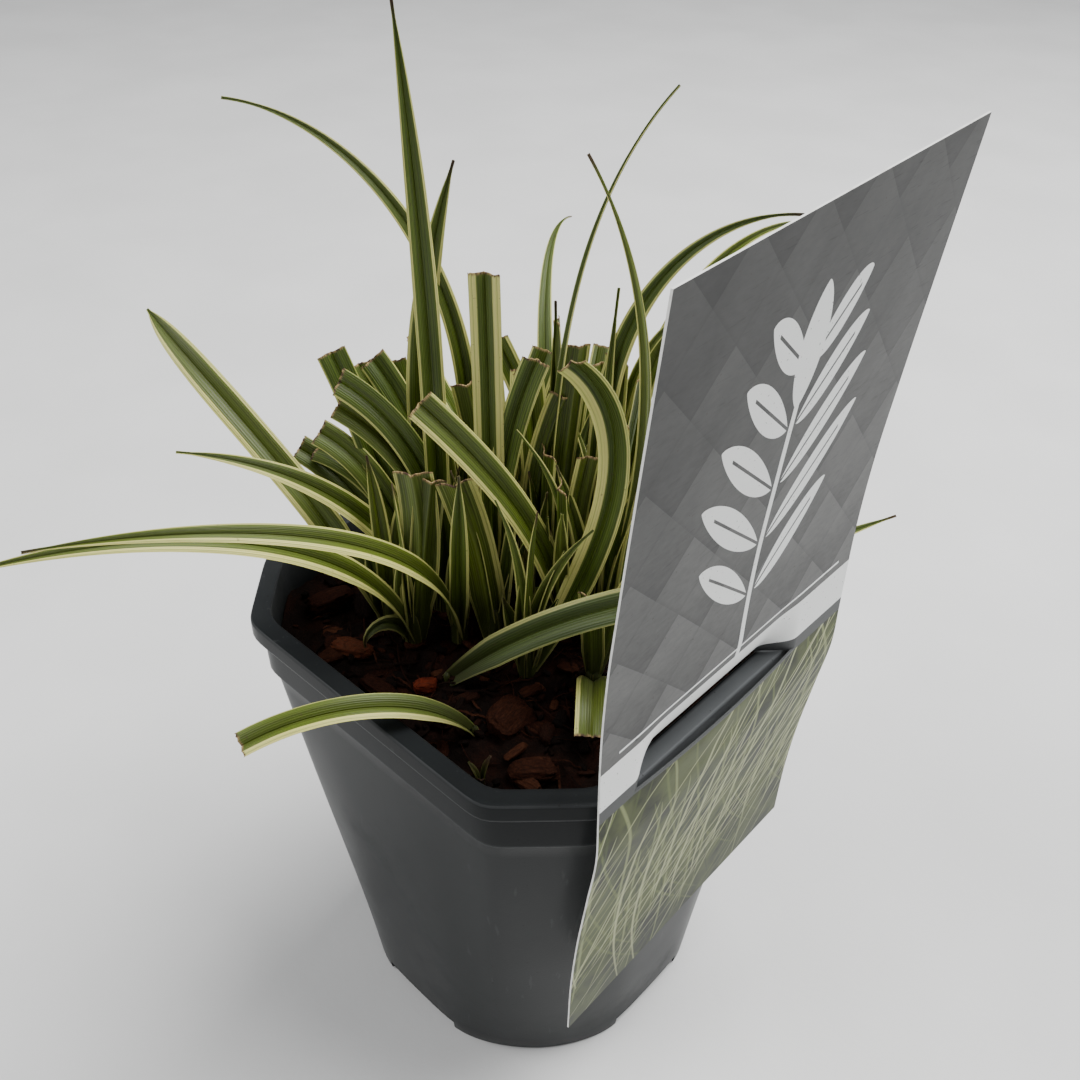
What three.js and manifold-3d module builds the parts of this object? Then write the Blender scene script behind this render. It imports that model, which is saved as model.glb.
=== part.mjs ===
// A variegated carex sedge in its nursery pot, with the sheet label that hangs on the rim.
// Millimetres, +Z up. The origin is the middle of the pot's underside. The label hangs on the +X side.

import * as THREE from 'three';
import { mergeVertices } from 'three/addons/utils/BufferGeometryUtils.js';
import Module from 'manifold-3d';

const wasm = await Module();
wasm.setup();

// ---------------------------------------------------------------- driving dimensions

const POT_HEIGHT = 150;
const RIM_SIDE = 65; // from the pot's axis to the flat of the rim, half of 130 mm across
const RIM_CORNER = 77.2; // from the axis to the cut corner of the rim
const BASE_SIDE = 53.5; // from the axis to the slight flats of the round base
const BASE_ROUND = 55.7; // radius of the round base
const WALL = 1.5;
const SHOULDER_HEIGHT = 131; // the step that stacked pots rest on
const FLOOR_TOP = 6.5;
const ARCH_HALF_WIDTH = 15.5; // drain arches in the foot ring
const ARCH_HEIGHT = 4;
const GAP = 0.3; // between pieces that rest against each other

const SOIL_LEVEL = 138;
const PLUG_RADIUS = 3.4; // a shoot's base in the soil
const PLUG_DEPTH = 12;
const PLUG_SIDES = 8;
const SHEATH_RADIUS = 2.6; // at its top, where the shoot's leaves part

const LABEL_HALF_WIDTH = 50;
const LABEL_THICKNESS = 0.7;
const SLIT_MIDDLE = -5; // the slit is a little off the sheet's middle
const SLIT_HALF_WIDTH = 33;
const SLIT_BELLY = 1.2; // how far the sheet under the slit stands out from the rim
const TONGUE_HALF_WIDTH = 22; // where the tongue over the slit has passed behind the rim
const TONGUE_HEIGHT = 16; // how far over the slit the sheet begins to bend inwards

const BLADE_THICKNESS = 0.75;
const BLADE_STEP = 22; // length of a leaf between two bends of its solid

// ---------------------------------------------------------------- shoots and leaves

// Each shoot: x and y of its base on the soil, the height of its sheath, then how many plain
// leaves fill it out, and how long those are.
const SHOOTS = {
  left_tall: [-20, -17, 12, 1, 60],
  left_fan: [-25, -6, 12, 2, 60],
  front_left: [-27, -31, 9, 2, 48],
  left_low: [-29, -18.5, 12, 0, 50],
  inner_front: [-8, -22, 12, 3, 58],
  front_mid: [-17, -31, 9, 3, 52],
  middle_front: [1, -17, 12, 3, 56],
  right_arch: [11, -2, 12, 2, 58],
  right_front: [14, -18, 9, 3, 50],
  inner_tall: [-8, -9, 12, 2, 62],
  near_right: [1, -35, 2.5, 0, 0],
  edge: [20, -43, 2.5, 0, 0],
  rim_side: [29, -8, 4, 2, 36],
  middle: [0, 2, 12, 2, 64],
  right_mid: [21, 4, 12, 3, 64],
  right_back: [12, 14, 12, 3, 72],
  back: [4, 26, 12, 2, 66],
  left_arch: [-16, -2, 12, 2, 68],
  back_mid: [-7, 14, 12, 3, 74],
  label_side: [23, 16, 6, 3, 58],
  back_left: [-19, 12, 12, 3, 68],
  back_far: [-11, 27, 12, 3, 62],
};

// Each leaf: its shoot; the heading it leaves in and its rise above level, in degrees; its
// length; how far it droops and sways by its tip, in degrees; how late it bends; its width;
// how far its face is turned about its length, in degrees; and its end. A cropped leaf keeps
// its width, and any other narrows to a point, the later the larger the number.
const CROPPED = 0;
const SLENDER = 1.9;
const POINTED = 3.2;
const BLUNT = 7;
const LEAVES = [
  ['left_tall', 210, 91, 161, 6, 1, 1.8, 7, -55, POINTED],
  ['left_fan', 215, 75, 127, -33, 4, 1, 8.5, -80, POINTED],
  ['left_fan', 212, 98, 163, 95, 3, 2.3, 6.2, -60, SLENDER],
  ['front_left', 213, 73, 114, 59, -40, 1, 9, -38, BLUNT],
  ['left_low', 245, 84, 89, 68, -4, 0.9, 8, -45, SLENDER],
  ['inner_front', 290, 86, 134, 91, -55, 0.8, 6.8, -48, SLENDER],
  ['front_mid', 271, 82, 131, 88, -26, 0.8, 7.2, -48, SLENDER],
  ['front_mid', 223, 100, 56, 18, 0, 1.8, 11, 85, CROPPED],
  ['front_mid', 247, 84, 23, 186, 20, 1.6, 5, -60, SLENDER],
  ['middle_front', 240, 86, 57, 13, 0, 1.5, 10.5, 75, CROPPED],
  ['right_arch', 264, 90, 88, 47, -50, 0.8, 8.5, -62, CROPPED],
  ['right_front', 68, 60, 101, -79, 4, 2.2, 8.5, 50, CROPPED],
  ['inner_tall', 150, 91, 104, 5, 0, 1.6, 8, -15, CROPPED],
  ['near_right', 30, 50, 63, 28, 5, 1.1, 9, 50, CROPPED],
  ['edge', 246, 64, 63, 90, -4, 0.8, 7, -20, CROPPED],
  ['rim_side', -50, 45, 28, 80, 0, 1.5, 9.5, 0, CROPPED],
  ['middle', 47, 88, 150, 38, -9, 3.5, 3.2, 25, SLENDER],
  ['right_mid', 32, 84, 138, -40, 3, 2.3, 4, -60, SLENDER],
  ['right_back', 33, 94, 141, 93, -3, 3.1, 7, 85, SLENDER],
  ['back', 65, 85, 132, 105, -8, 3.4, 6, 45, SLENDER],
  ['left_low', 190, 80, 77, 19, -2, 1.5, 8.5, -40, CROPPED],
  ['left_low', 205, 87, 61, 63, 4, 1.9, 8, -50, CROPPED],
  ['left_low', 205, 73, 57, 49, 3, 1.9, 8, -42, CROPPED],
  ['left_tall', 216, 98, 75, 75, -8, 1.6, 8, -55, CROPPED],
  ['left_tall', 209, 99, 81, 74, -1, 1.7, 8, -60, CROPPED],
  ['left_fan', 190, 68, 71, 8, 2, 1.8, 8, -36, CROPPED],
  ['left_fan', 195, 85, 74, 37, 2, 1.8, 8.5, -48, CROPPED],
  ['left_low', 202, 97, 59, 90, 3, 1.5, 8.5, -44, CROPPED],
  ['left_fan', 180, 76, 69, 11, -2, 1.5, 8, -30, CROPPED],
  ['left_arch', 169, 92, 80, 21, -6, 1.3, 8, -20, CROPPED],
  ['left_arch', 224, 98, 69, 54, 5, 2.2, 8, -75, CROPPED],
  ['inner_tall', 45, 91, 84, 22, 0, 1.6, 7.5, 80, CROPPED],
  ['middle', 40, 98, 72, 29, 1, 1.5, 8.5, -70, CROPPED],
  ['middle', 45, 80, 85, 0, 0, 1.6, 7.5, -75, CROPPED],
  ['right_arch', 221, 98, 70, 49, -9, 1.8, 4.5, 60, SLENDER],
  ['right_front', 41, 91, 52, 44, 3, 1.4, 4.5, 65, SLENDER],
  ['right_front', 225, 92, 58, 23, 1, 1.7, 4.5, 60, SLENDER],
  ['right_back', 96, 96, 100, 14, 5, 1.4, 4.5, 25, SLENDER],
  ['back_mid', 150, 91, 129, 109, -37, 1.7, 5.5, -5, SLENDER],
  ['back_mid', 120, 88, 91, -9, -2, 1.7, 5.5, 10, SLENDER],
  ['back', 40, 90, 112, 140, 5, 4.5, 3.5, 60, SLENDER],
  ['label_side', 55, 25, 79, 10, 0, 1.7, 6, 35, SLENDER],
  ['front_mid', 43, 85, 54, 3, 0, 1.5, 8.5, -85, CROPPED],
];
const LEAF_SEED = 7;
const UNCUT_FRONT = -16.5; // shoots further to the front than this y have whole young leaves
const BACKWARD = 133; // heading of the clump's back; whole young leaves stand on that side

// Bark chips that lie in plain sight: x, y, height of the middle over the soil, length,
// width, thickness, and turn in degrees.
const LARGE_CHIPS = [
  [-26, -46, 1.5, 13, 7, 4, 20],
  [-1, -41, 1, 8, 5, 4, 60],
  [24, -34, 2, 16, 11, 6, 100],
  [39, -43, 1.5, 14, 8, 5, 45],
  [10, -46, 1.5, 11, 7, 5, 150],
  [-9, -51, 1, 12, 6, 5, 15],
  [-45, -38, 2, 15, 8, 6, 70],
  [-52, -26, 1, 13, 6, 5, 110],
];
const SMALL_CHIPS = 16;
const CHIP_SEED = 23;

// ---------------------------------------------------------------- small tools

const radians = THREE.MathUtils.degToRad;

function randomFrom(seed) {
  let state = seed;
  return () => {
    state = (state * 16807) % 2147483647;
    return state / 2147483647;
  };
}

function solidOf(geometry) {
  const bare = geometry.clone();
  bare.deleteAttribute('normal');
  bare.deleteAttribute('uv');
  const merged = mergeVertices(bare, 1e-4);
  const corners = [];
  for (let i = 0; i < merged.index.count; i += 3) {
    const [a, b, c] = [0, 1, 2].map((k) => merged.index.getX(i + k));
    if (a !== b && b !== c && c !== a) corners.push(a, b, c);
  }
  return new wasm.Manifold(new wasm.Mesh({
    numProp: 3,
    vertProperties: new Float32Array(merged.attributes.position.array),
    triVerts: new Uint32Array(corners),
  }));
}

// The largest body of a solid, without the loose scraps and sealed hollows of a join.
function geometryOf(solid) {
  const bodies = solid.decompose().filter((body) => body.volume() > 0);
  bodies.sort((a, b) => b.volume() - a.volume());
  const mesh = bodies[0].getMesh();
  const geometry = new THREE.BufferGeometry();
  geometry.setAttribute('position', new THREE.BufferAttribute(mesh.vertProperties, 3));
  geometry.setIndex(Array.from(mesh.triVerts));
  geometry.computeVertexNormals();
  return geometry;
}

function meshOf(name, geometry, color, roughness) {
  const material = new THREE.MeshStandardMaterial({ color, roughness, metalness: 0 });
  const mesh = new THREE.Mesh(geometry, material);
  mesh.name = name;
  return mesh;
}

// ---------------------------------------------------------------- pot

// Distance from the axis to an outline with four flats, four cut corners and a round limit.
function outlineReach(angle, side, corner, round) {
  const sharpness = 60;
  const across = Math.abs(Math.cos(angle));
  const along = Math.abs(Math.sin(angle));
  const diagonal = (across + along) / Math.SQRT2;
  const sum = (across / side) ** sharpness + (along / side) ** sharpness
    + (diagonal / corner) ** sharpness + (1 / round) ** sharpness;
  return sum ** (-1 / sharpness);
}

const NO_LIMIT = 99;
const CORNER_EXTRA = RIM_CORNER - RIM_SIDE;

function squareReach(angle, side) {
  return outlineReach(angle, side, side + CORNER_EXTRA, NO_LIMIT);
}

// The wall runs from the round base to the cut square under the shoulder, with a slight belly.
function wallReach(angle, height, inset) {
  const base = outlineReach(angle, BASE_SIDE, NO_LIMIT, BASE_ROUND);
  const top = squareReach(angle, RIM_SIDE - 4);
  const share = height / SHOULDER_HEIGHT;
  return THREE.MathUtils.lerp(base, top, share) + 0.5 * Math.sin(Math.PI * share) - inset;
}

const INNER_TOP = RIM_SIDE - 5.3; // the rim's inner edge

const WALL_HEIGHTS = [44, 88]; // where the wall is bent between its foot and the shoulder

// Each ring of the pot gives its reach and its height at an angle round the axis.
const square = (side, height) => (angle) => [squareReach(angle, side), height];
const wall = (height, inset) => (angle) => [wallReach(angle, height, inset), height];
const round = (radius, height) => () => [radius, height];

function potRings() {
  const padRadius = 9;
  const footWidth = 2;
  const floorBottom = FLOOR_TOP - WALL;
  return [
    round(0, 0),
    round(padRadius, 0),
    round(padRadius, floorBottom),
    wall(floorBottom, footWidth),
    wall(0, footWidth),
    wall(0, 0.6),
    wall(0.8, 0),
    ...WALL_HEIGHTS.map((height) => wall(height, 0)),
    wall(SHOULDER_HEIGHT, 0),
    square(RIM_SIDE - 2.6, SHOULDER_HEIGHT + 1.5),
    square(RIM_SIDE - 2.4, POT_HEIGHT - 6),
    square(RIM_SIDE + 0.1, POT_HEIGHT - 4.6),
    square(RIM_SIDE, POT_HEIGHT - 0.7),
    square(RIM_SIDE - 0.7, POT_HEIGHT),
    square(INNER_TOP + 0.5, POT_HEIGHT),
    square(INNER_TOP, POT_HEIGHT - 0.5),
    square(INNER_TOP - 0.1, SHOULDER_HEIGHT),
    ...WALL_HEIGHTS.toReversed().map((height) => wall(height, WALL)),
    wall(FLOOR_TOP, WALL),
    round(0, FLOOR_TOP),
  ];
}

// Angles at which the outline is drawn, in degrees from the middle of each flat: each end
// of a rounded corner has one.
const QUARTER_TURNS = [-35.6, -32.8, -22, -11, 0, 11, 22, 32.8, 35.6, 45];
const ANGLES = [0, 90, 180, 270].flatMap((flat) => QUARTER_TURNS.map((turn) => radians(flat + turn)));

// A lathe whose rings are pulled out to their own outlines.
function latheSolid(rings) {
  const profile = rings.map((ring) => new THREE.Vector2(...ring(0)));
  const lathe = new THREE.LatheGeometry(profile, ANGLES.length);
  const place = lathe.attributes.position;
  for (let i = 0; i < place.count; i += 1) {
    const angle = ANGLES[Math.floor(i / rings.length) % ANGLES.length];
    const [reach, height] = rings[i % rings.length](angle);
    place.setXYZ(i, reach * Math.cos(angle), reach * Math.sin(angle), height);
  }
  return solidOf(lathe);
}

function drainCuts() {
  const cuts = [];
  for (let quarter = 0; quarter < 4; quarter += 1) {
    const arch = new THREE.BoxGeometry(20, ARCH_HALF_WIDTH * 2, ARCH_HEIGHT * 2);
    arch.translate(BASE_SIDE, 0, 0);
    arch.rotateZ((quarter * Math.PI) / 2);
    cuts.push(solidOf(arch));
  }
  const holes = 6;
  for (let hole = 0; hole < holes; hole += 1) {
    const drill = new THREE.CylinderGeometry(5, 5, 8, 8);
    drill.rotateX(Math.PI / 2);
    drill.translate(36, 0, FLOOR_TOP - 1);
    drill.rotateZ(((hole + 0.5) / holes) * Math.PI * 2);
    cuts.push(solidOf(drill));
  }
  return cuts;
}

function makePot() {
  let pot = latheSolid(potRings());
  for (const cut of drainCuts()) pot = pot.subtract(cut);
  return meshOf('pot', geometryOf(pot), 0x41484b, 0.42);
}

// ---------------------------------------------------------------- leaves

// Points along a leaf's keel, with the direction it grows in at each.
function keelOf(leaf, steps) {
  const [x, y] = SHOOTS[leaf.shoot];
  const rootOffset = 0.5 + 0.35 * (leaf.order % 5);
  const start = radians(leaf.heading);
  const place = new THREE.Vector3(
    x + rootOffset * Math.cos(start),
    y + rootOffset * Math.sin(start),
    SOIL_LEVEL,
  );
  const growth = (t) => {
    const bent = t ** leaf.bend;
    const rise = radians(leaf.rise - leaf.droop * bent);
    return { rise, heading: radians(leaf.heading + leaf.sway * bent) };
  };
  const keel = [];
  for (let i = 0; i <= steps; i += 1) {
    keel.push({ place: place.clone(), ...growth(i / steps) });
    const { rise, heading } = growth((i + 0.5) / steps);
    place.x += (Math.cos(rise) * Math.cos(heading) * leaf.length) / steps;
    place.y += (Math.cos(rise) * Math.sin(heading) * leaf.length) / steps;
    place.z += (Math.sin(rise) * leaf.length) / steps;
  }
  return keel;
}

function opened(t) {
  return Math.min(1, t / 0.3);
}

function widthAt(leaf, t) {
  const width = leaf.width * (0.5 + 0.5 * opened(t) ** 0.8);
  if (leaf.end === CROPPED) return width;
  const towardTip = Math.max(0, (t - 0.3) / 0.7);
  return Math.max(0.8, width * (1 - towardTip ** leaf.end));
}

// Direction across the leaf and up from its face, at a point of its keel.
function faceAt({ rise, heading }, turn) {
  const along = new THREE.Vector3(
    Math.cos(rise) * Math.cos(heading),
    Math.cos(rise) * Math.sin(heading),
    Math.sin(rise),
  );
  const level = new THREE.Vector3(-Math.sin(heading), Math.cos(heading), 0);
  const upright = new THREE.Vector3().crossVectors(along, level);
  const across = level.clone().multiplyScalar(Math.cos(turn)).addScaledVector(upright, Math.sin(turn));
  const up = upright.multiplyScalar(Math.cos(turn)).addScaledVector(level, -Math.sin(turn));
  return { along, across, up };
}

// Rows of points over the leaf's face, folded up from the keel to both edges.
function faceRows(leaf, steps, stations) {
  return keelOf(leaf, steps).map((point, i) => {
    const t = i / steps;
    const { across, up } = faceAt(point, radians(leaf.turn));
    const half = widthAt(leaf, t) / 2;
    const fold = radians(22 + 13 * (1 - opened(t)));
    return stations.map((station) => point.place.clone()
      .addScaledVector(across, station * half * Math.cos(fold))
      .addScaledVector(up, Math.abs(station) * half * Math.sin(fold)));
  });
}

// A closed sheet between rows of points and the same rows set lower, split alike on both.
function sheetGeometry(upper, lower) {
  const rows = upper.length;
  const columns = upper[0].length;
  const places = [...upper.flat(), ...lower.flat()].flatMap((p) => [p.x, p.y, p.z]);
  const top = (i, j) => i * columns + j;
  const bottom = (i, j) => rows * columns + i * columns + j;
  const index = [];
  const quad = (a, b, c, d) => index.push(a, b, c, a, c, d);
  for (let i = 0; i + 1 < rows; i += 1) {
    for (let j = 0; j + 1 < columns; j += 1) {
      quad(top(i, j), top(i + 1, j), top(i + 1, j + 1), top(i, j + 1));
      index.push(bottom(i, j), bottom(i + 1, j + 1), bottom(i + 1, j));
      index.push(bottom(i, j), bottom(i, j + 1), bottom(i + 1, j + 1));
    }
    quad(top(i, 0), bottom(i, 0), bottom(i + 1, 0), top(i + 1, 0));
    quad(top(i, columns - 1), top(i + 1, columns - 1), bottom(i + 1, columns - 1), bottom(i, columns - 1));
  }
  for (let j = 0; j + 1 < columns; j += 1) {
    quad(top(0, j), top(0, j + 1), bottom(0, j + 1), bottom(0, j));
    quad(top(rows - 1, j), bottom(rows - 1, j), bottom(rows - 1, j + 1), top(rows - 1, j + 1));
  }
  const geometry = new THREE.BufferGeometry();
  geometry.setAttribute('position', new THREE.Float32BufferAttribute(places, 3));
  geometry.setIndex(index);
  return geometry;
}

// A leaf starts inside its shoot's sheath, half way up it or nearer where it leaves level.
function bladeSolid(leaf) {
  const steps = Math.max(3, Math.round(leaf.length / BLADE_STEP));
  const upper = faceRows(leaf, steps, [-1, 0, 1]);
  const sheath = SHOOTS[leaf.shoot][2];
  const hidden = Math.min(sheath / 2, 1.6 / Math.cos(radians(Math.min(80, leaf.rise))));
  upper[0] = upper[0].map((p, j) => p.clone().lerp(upper[1][j], (hidden * steps) / leaf.length));
  const keel = keelOf(leaf, steps);
  const lower = upper.map((row, i) => {
    const { up } = faceAt(keel[i], radians(leaf.turn));
    return row.map((p) => p.clone().addScaledVector(up, -BLADE_THICKNESS));
  });
  return solidOf(sheetGeometry(upper, lower));
}

// ---------------------------------------------------------------- settling the leaves

const CLEARANCE = 2.4; // between points of leaves on different shoots
const TRIES = 200;

function cloudOf(leaf) {
  const steps = Math.max(4, Math.floor(leaf.length / 2.5));
  const points = faceRows(leaf, steps, [-1, -0.5, 0, 0.5, 1]).flat();
  return { shoot: leaf.shoot, points, box: new THREE.Box3().setFromPoints(points) };
}

// What leaves keep clear of: from each of these they stay as far as their own thickness asks.
const OFF = 2.7;
const LABEL_SIDE = INNER_TOP - 1.7; // the sheet's back where the tongue draws it in
const LABEL_LOW = SOIL_LEVEL + 4; // under it the rim guards the sheet
const ROOT_SPREAD = 9; // this near its root a leaf may touch the soil
const SHOOT_TOP = SOIL_LEVEL + 10;
const SHOOT_SPREAD = PLUG_RADIUS + 1.6;

// Whether a leaf's points stay off the soil, the rim, the label and the other shoots' bases.
function standsFree(cloud) {
  const [rootX, rootY] = SHOOTS[cloud.shoot];
  const others = Object.entries(SHOOTS).filter(([name]) => name !== cloud.shoot);
  return cloud.points.every(({ x, y, z }) => {
    const side = Math.max(Math.abs(x), Math.abs(y));
    const diagonal = (Math.abs(x) + Math.abs(y)) / Math.SQRT2;
    const overRim = side > INNER_TOP - OFF || diagonal > RIM_CORNER - 2.7 * OFF;
    const inLabel = x > LABEL_SIDE && Math.abs(y) < LABEL_HALF_WIDTH + 2 * OFF && z > LABEL_LOW;
    const inRim = z < POT_HEIGHT + 2 && side < RIM_SIDE + OFF && overRim;
    const inSoil = z < SOIL_LEVEL + 3 && Math.hypot(x - rootX, y - rootY) > ROOT_SPREAD;
    const inShoot = z < SHOOT_TOP && others.some(([, [ox, oy]]) => Math.hypot(x - ox, y - oy) < SHOOT_SPREAD);
    return !(inLabel || inRim || inSoil || inShoot);
  });
}

function clearOf(cloud, other) {
  if (cloud.shoot === other.shoot) return true;
  const reach = cloud.box.clone().expandByScalar(CLEARANCE);
  if (!reach.intersectsBox(other.box)) return true;
  const near = other.points.filter((q) => reach.containsPoint(q));
  return cloud.points.every((p) => near.every((q) => p.distanceToSquared(q) >= CLEARANCE ** 2));
}

// Leaves are set one after another. One that would cross a leaf of another shoot is swung
// aside in widening turns until it stands clear, and is left out where it finds no room.
function settle(leaves) {
  const placed = [];
  const clouds = [];
  for (const leaf of leaves) {
    const order = placed.filter(({ shoot }) => shoot === leaf.shoot).length;
    for (let k = 0; k < TRIES; k += 1) {
      const swing = Math.sqrt(k);
      const heading = leaf.heading + 2.6 * swing * Math.cos(2.4 * k);
      const rise = leaf.rise + 1.6 * swing * Math.sin(2.4 * k);
      const trial = { ...leaf, order, heading, rise };
      const cloud = cloudOf(trial);
      if (standsFree(cloud) && clouds.every((other) => clearOf(cloud, other))) {
        placed.push(trial);
        clouds.push(cloud);
        break;
      }
    }
  }
  return placed;
}

function namedLeaves() {
  return LEAVES.map(([shoot, heading, rise, length, droop, sway, bend, width, turn, end]) => ({
    shoot, heading, rise, length, droop, sway, bend, width, turn, end,
  }));
}

// Plain leaves that fan out round each shoot, away from the middle of the clump: cropped
// ones, and whole pointed ones at the front.
function fillerLeaves() {
  const random = randomFrom(LEAF_SEED);
  const leaves = [];
  for (const [shoot, [x, y, , count, length]] of Object.entries(SHOOTS)) {
    const outward = THREE.MathUtils.radToDeg(Math.atan2(y + 4, x + 4));
    const uncut = y < UNCUT_FRONT;
    for (let i = 0; i < count; i += 1) {
      const leaf = {
        shoot,
        heading: outward + ((i - (count - 1) / 2) * 300) / count + 50 * (random() - 0.5),
        rise: 90 - 10 * random(),
        length: length * (0.85 + 0.3 * random()),
        droop: 4 + 20 * random(),
        sway: 0,
        bend: 1.7,
        width: (uncut ? 5.5 : 6.5) + 2.5 * random(),
        turn: 140 * random() - 70,
        end: uncut ? POINTED : CROPPED,
      };
      const toBack = Math.cos(THREE.MathUtils.degToRad(leaf.heading - BACKWARD)) > 0;
      if (!uncut || toBack) leaves.push(leaf);
    }
  }
  return leaves;
}

// A shoot's base: a plug in the soil under a sheath that narrows a little.
function sheathSolid(x, y, height) {
  const bottom = SOIL_LEVEL - PLUG_DEPTH;
  const profile = [
    new THREE.Vector2(0, bottom),
    new THREE.Vector2(PLUG_RADIUS, bottom),
    new THREE.Vector2(PLUG_RADIUS, SOIL_LEVEL + 2),
    new THREE.Vector2(SHEATH_RADIUS, SOIL_LEVEL + height),
    new THREE.Vector2(0, SOIL_LEVEL + height),
  ];
  const lathe = new THREE.LatheGeometry(profile, PLUG_SIDES);
  lathe.rotateX(Math.PI / 2);
  lathe.translate(x, y, 0);
  return solidOf(lathe);
}

function makeShoot(name, leaves) {
  const [x, y, height] = SHOOTS[name];
  let shoot = sheathSolid(x, y, height);
  for (const leaf of leaves) shoot = shoot.add(bladeSolid(leaf));
  return meshOf(`shoot_${name}`, geometryOf(shoot), 0x6f8a3c, 0.5);
}

// ---------------------------------------------------------------- growing medium

function chipSolid([x, y, over, length, width, thickness, turn], random) {
  const chip = new THREE.BoxGeometry(length, width, thickness);
  const place = chip.attributes.position;
  const shifts = new Map();
  for (let i = 0; i < place.count; i += 1) {
    const p = new THREE.Vector3().fromBufferAttribute(place, i);
    const key = `${Math.sign(p.x)} ${Math.sign(p.y)} ${Math.sign(p.z)}`;
    if (!shifts.has(key)) shifts.set(key, [random(), random(), random()].map((r) => 0.62 + 0.38 * r));
    const [sx, sy, sz] = shifts.get(key);
    place.setXYZ(i, p.x * sx, p.y * sy, p.z * sz);
  }
  chip.rotateX(0.5 * (random() - 0.5));
  chip.rotateY(0.5 * (random() - 0.5));
  chip.rotateZ(radians(turn));
  chip.translate(x, y, SOIL_LEVEL + over);
  return solidOf(chip);
}

// Small chips scattered over the soil, clear of the shoots, the wall and the low leaves.
function scatteredChips(random, lowPoints) {
  const chips = [];
  while (chips.length < SMALL_CHIPS) {
    const angle = 2 * Math.PI * random();
    const distance = 62 * Math.sqrt(random());
    const length = 6 + 7 * random();
    const row = [
      distance * Math.cos(angle),
      distance * Math.sin(angle),
      0.4 + random(),
      length,
      length * (0.4 + 0.25 * random()),
      2.5 + 2 * random(),
      180 * random(),
    ];
    if (chipFits(row, lowPoints)) chips.push(row);
  }
  return chips;
}

function chipFits([x, y, , length], lowPoints) {
  const half = length / 2;
  const angle = Math.atan2(y, x);
  const offWall = squareReach(angle, INNER_TOP) - Math.hypot(x, y) > half + 2;
  const offShoots = Object.values(SHOOTS).every(([sx, sy]) => Math.hypot(x - sx, y - sy) > half + 5);
  const offLeaves = lowPoints.every((p) => Math.hypot(x - p.x, y - p.y) > half + 2);
  return offWall && offShoots && offLeaves;
}

const SOIL_GAP = GAP + 0.1;
const DRIED_GAP = GAP + 0.9; // the soil has shrunk a little from the twisted lower wall

function soilRings() {
  const upper = INNER_TOP - 0.1 - SOIL_GAP;
  const surface = (share) => (angle) => {
    const reach = squareReach(angle, upper) * share;
    const bumps = 0.7 * Math.sin(3 * angle + 0.11 * reach) + 0.5 * Math.cos(5 * angle - 0.17 * reach);
    return [reach, SOIL_LEVEL + bumps * Math.min(1, 3 * share)];
  };
  return [
    round(0, FLOOR_TOP + GAP),
    wall(FLOOR_TOP + GAP, WALL + DRIED_GAP),
    ...WALL_HEIGHTS.map((height) => wall(height, WALL + DRIED_GAP)),
    square(INNER_TOP - 0.1 - DRIED_GAP, SHOULDER_HEIGHT),
    square(upper, SOIL_LEVEL - 1),
    ...[0.8, 0.4].map(surface),
    round(0, SOIL_LEVEL),
  ];
}

function makeGrowingMedium(leaves) {
  const random = randomFrom(CHIP_SEED);
  let soil = latheSolid(soilRings());
  const lowPoints = leaves.flatMap((leaf) => cloudOf(leaf).points.filter((p) => p.z < SOIL_LEVEL + 9));
  const chips = [...LARGE_CHIPS, ...scatteredChips(random, lowPoints)];
  for (const chip of chips) soil = soil.add(chipSolid(chip, random));
  const holeRadius = PLUG_RADIUS + GAP + 0.05;
  for (const [x, y] of Object.values(SHOOTS)) {
    const height = 60;
    const hole = new THREE.CylinderGeometry(holeRadius, holeRadius, height, PLUG_SIDES);
    hole.rotateX(Math.PI / 2);
    hole.translate(x, y, SOIL_LEVEL - PLUG_DEPTH - GAP + height / 2);
    soil = soil.subtract(solidOf(hole));
  }
  return meshOf('growing_medium', geometryOf(soil), 0x3a2219, 0.95);
}

// ---------------------------------------------------------------- label

// Height and distance from the pot's axis of the hanging sheet: it stands off the wall at
// its foot, swings out to a belly, is drawn in at the rim and leans out to its top.
const LABEL_PROFILE = [
  [58, 61], [80, 61.3], [100, 62.6], [120, 64.8], [139, 66.8], [150, 66.5],
  [160, 66.2], [175, 65.9], [195, 66.3], [220, 68], [250, 70.4], [281, 73],
];
const TONGUE_REACH = INNER_TOP - 0.9; // the tongue over the slit is pushed in behind the rim
const SLIT_HEIGHT = POT_HEIGHT + 0.6; // the ends of the slit hang on the rim
const BELLY_HEIGHT = 139; // where the sheet under the slit begins to stand out

function labelReach(height) {
  const last = LABEL_PROFILE.length - 2;
  const i = Math.min(last, Math.max(0, LABEL_PROFILE.findIndex(([z]) => z >= height) - 1));
  const [z0, x0] = LABEL_PROFILE[i];
  const [z1, x1] = LABEL_PROFILE[i + 1];
  return THREE.MathUtils.mapLinear(height, z0, z1, x0, x1);
}

function labelPoint(y, height, inTongue) {
  const offMiddle = Math.abs(y - SLIT_MIDDLE);
  const inward = (1 - THREE.MathUtils.smoothstep(offMiddle, TONGUE_HALF_WIDTH, SLIT_HALF_WIDTH))
    * (1 - THREE.MathUtils.smoothstep(height, SLIT_HEIGHT + 1, SLIT_HEIGHT + TONGUE_HEIGHT));
  const outward = SLIT_BELLY * Math.max(0, 1 - (offMiddle / SLIT_HALF_WIDTH) ** 2)
    * THREE.MathUtils.smoothstep(height, BELLY_HEIGHT, SLIT_HEIGHT);
  const hanging = labelReach(height);
  const x = inTongue ? THREE.MathUtils.lerp(hanging, TONGUE_REACH, inward) : hanging + outward;
  const tilt = 0.04 * Math.min(1, Math.abs(height - SLIT_HEIGHT) / 60); // it hangs a little askew
  return new THREE.Vector3(x, y, height + tilt * y);
}

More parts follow.
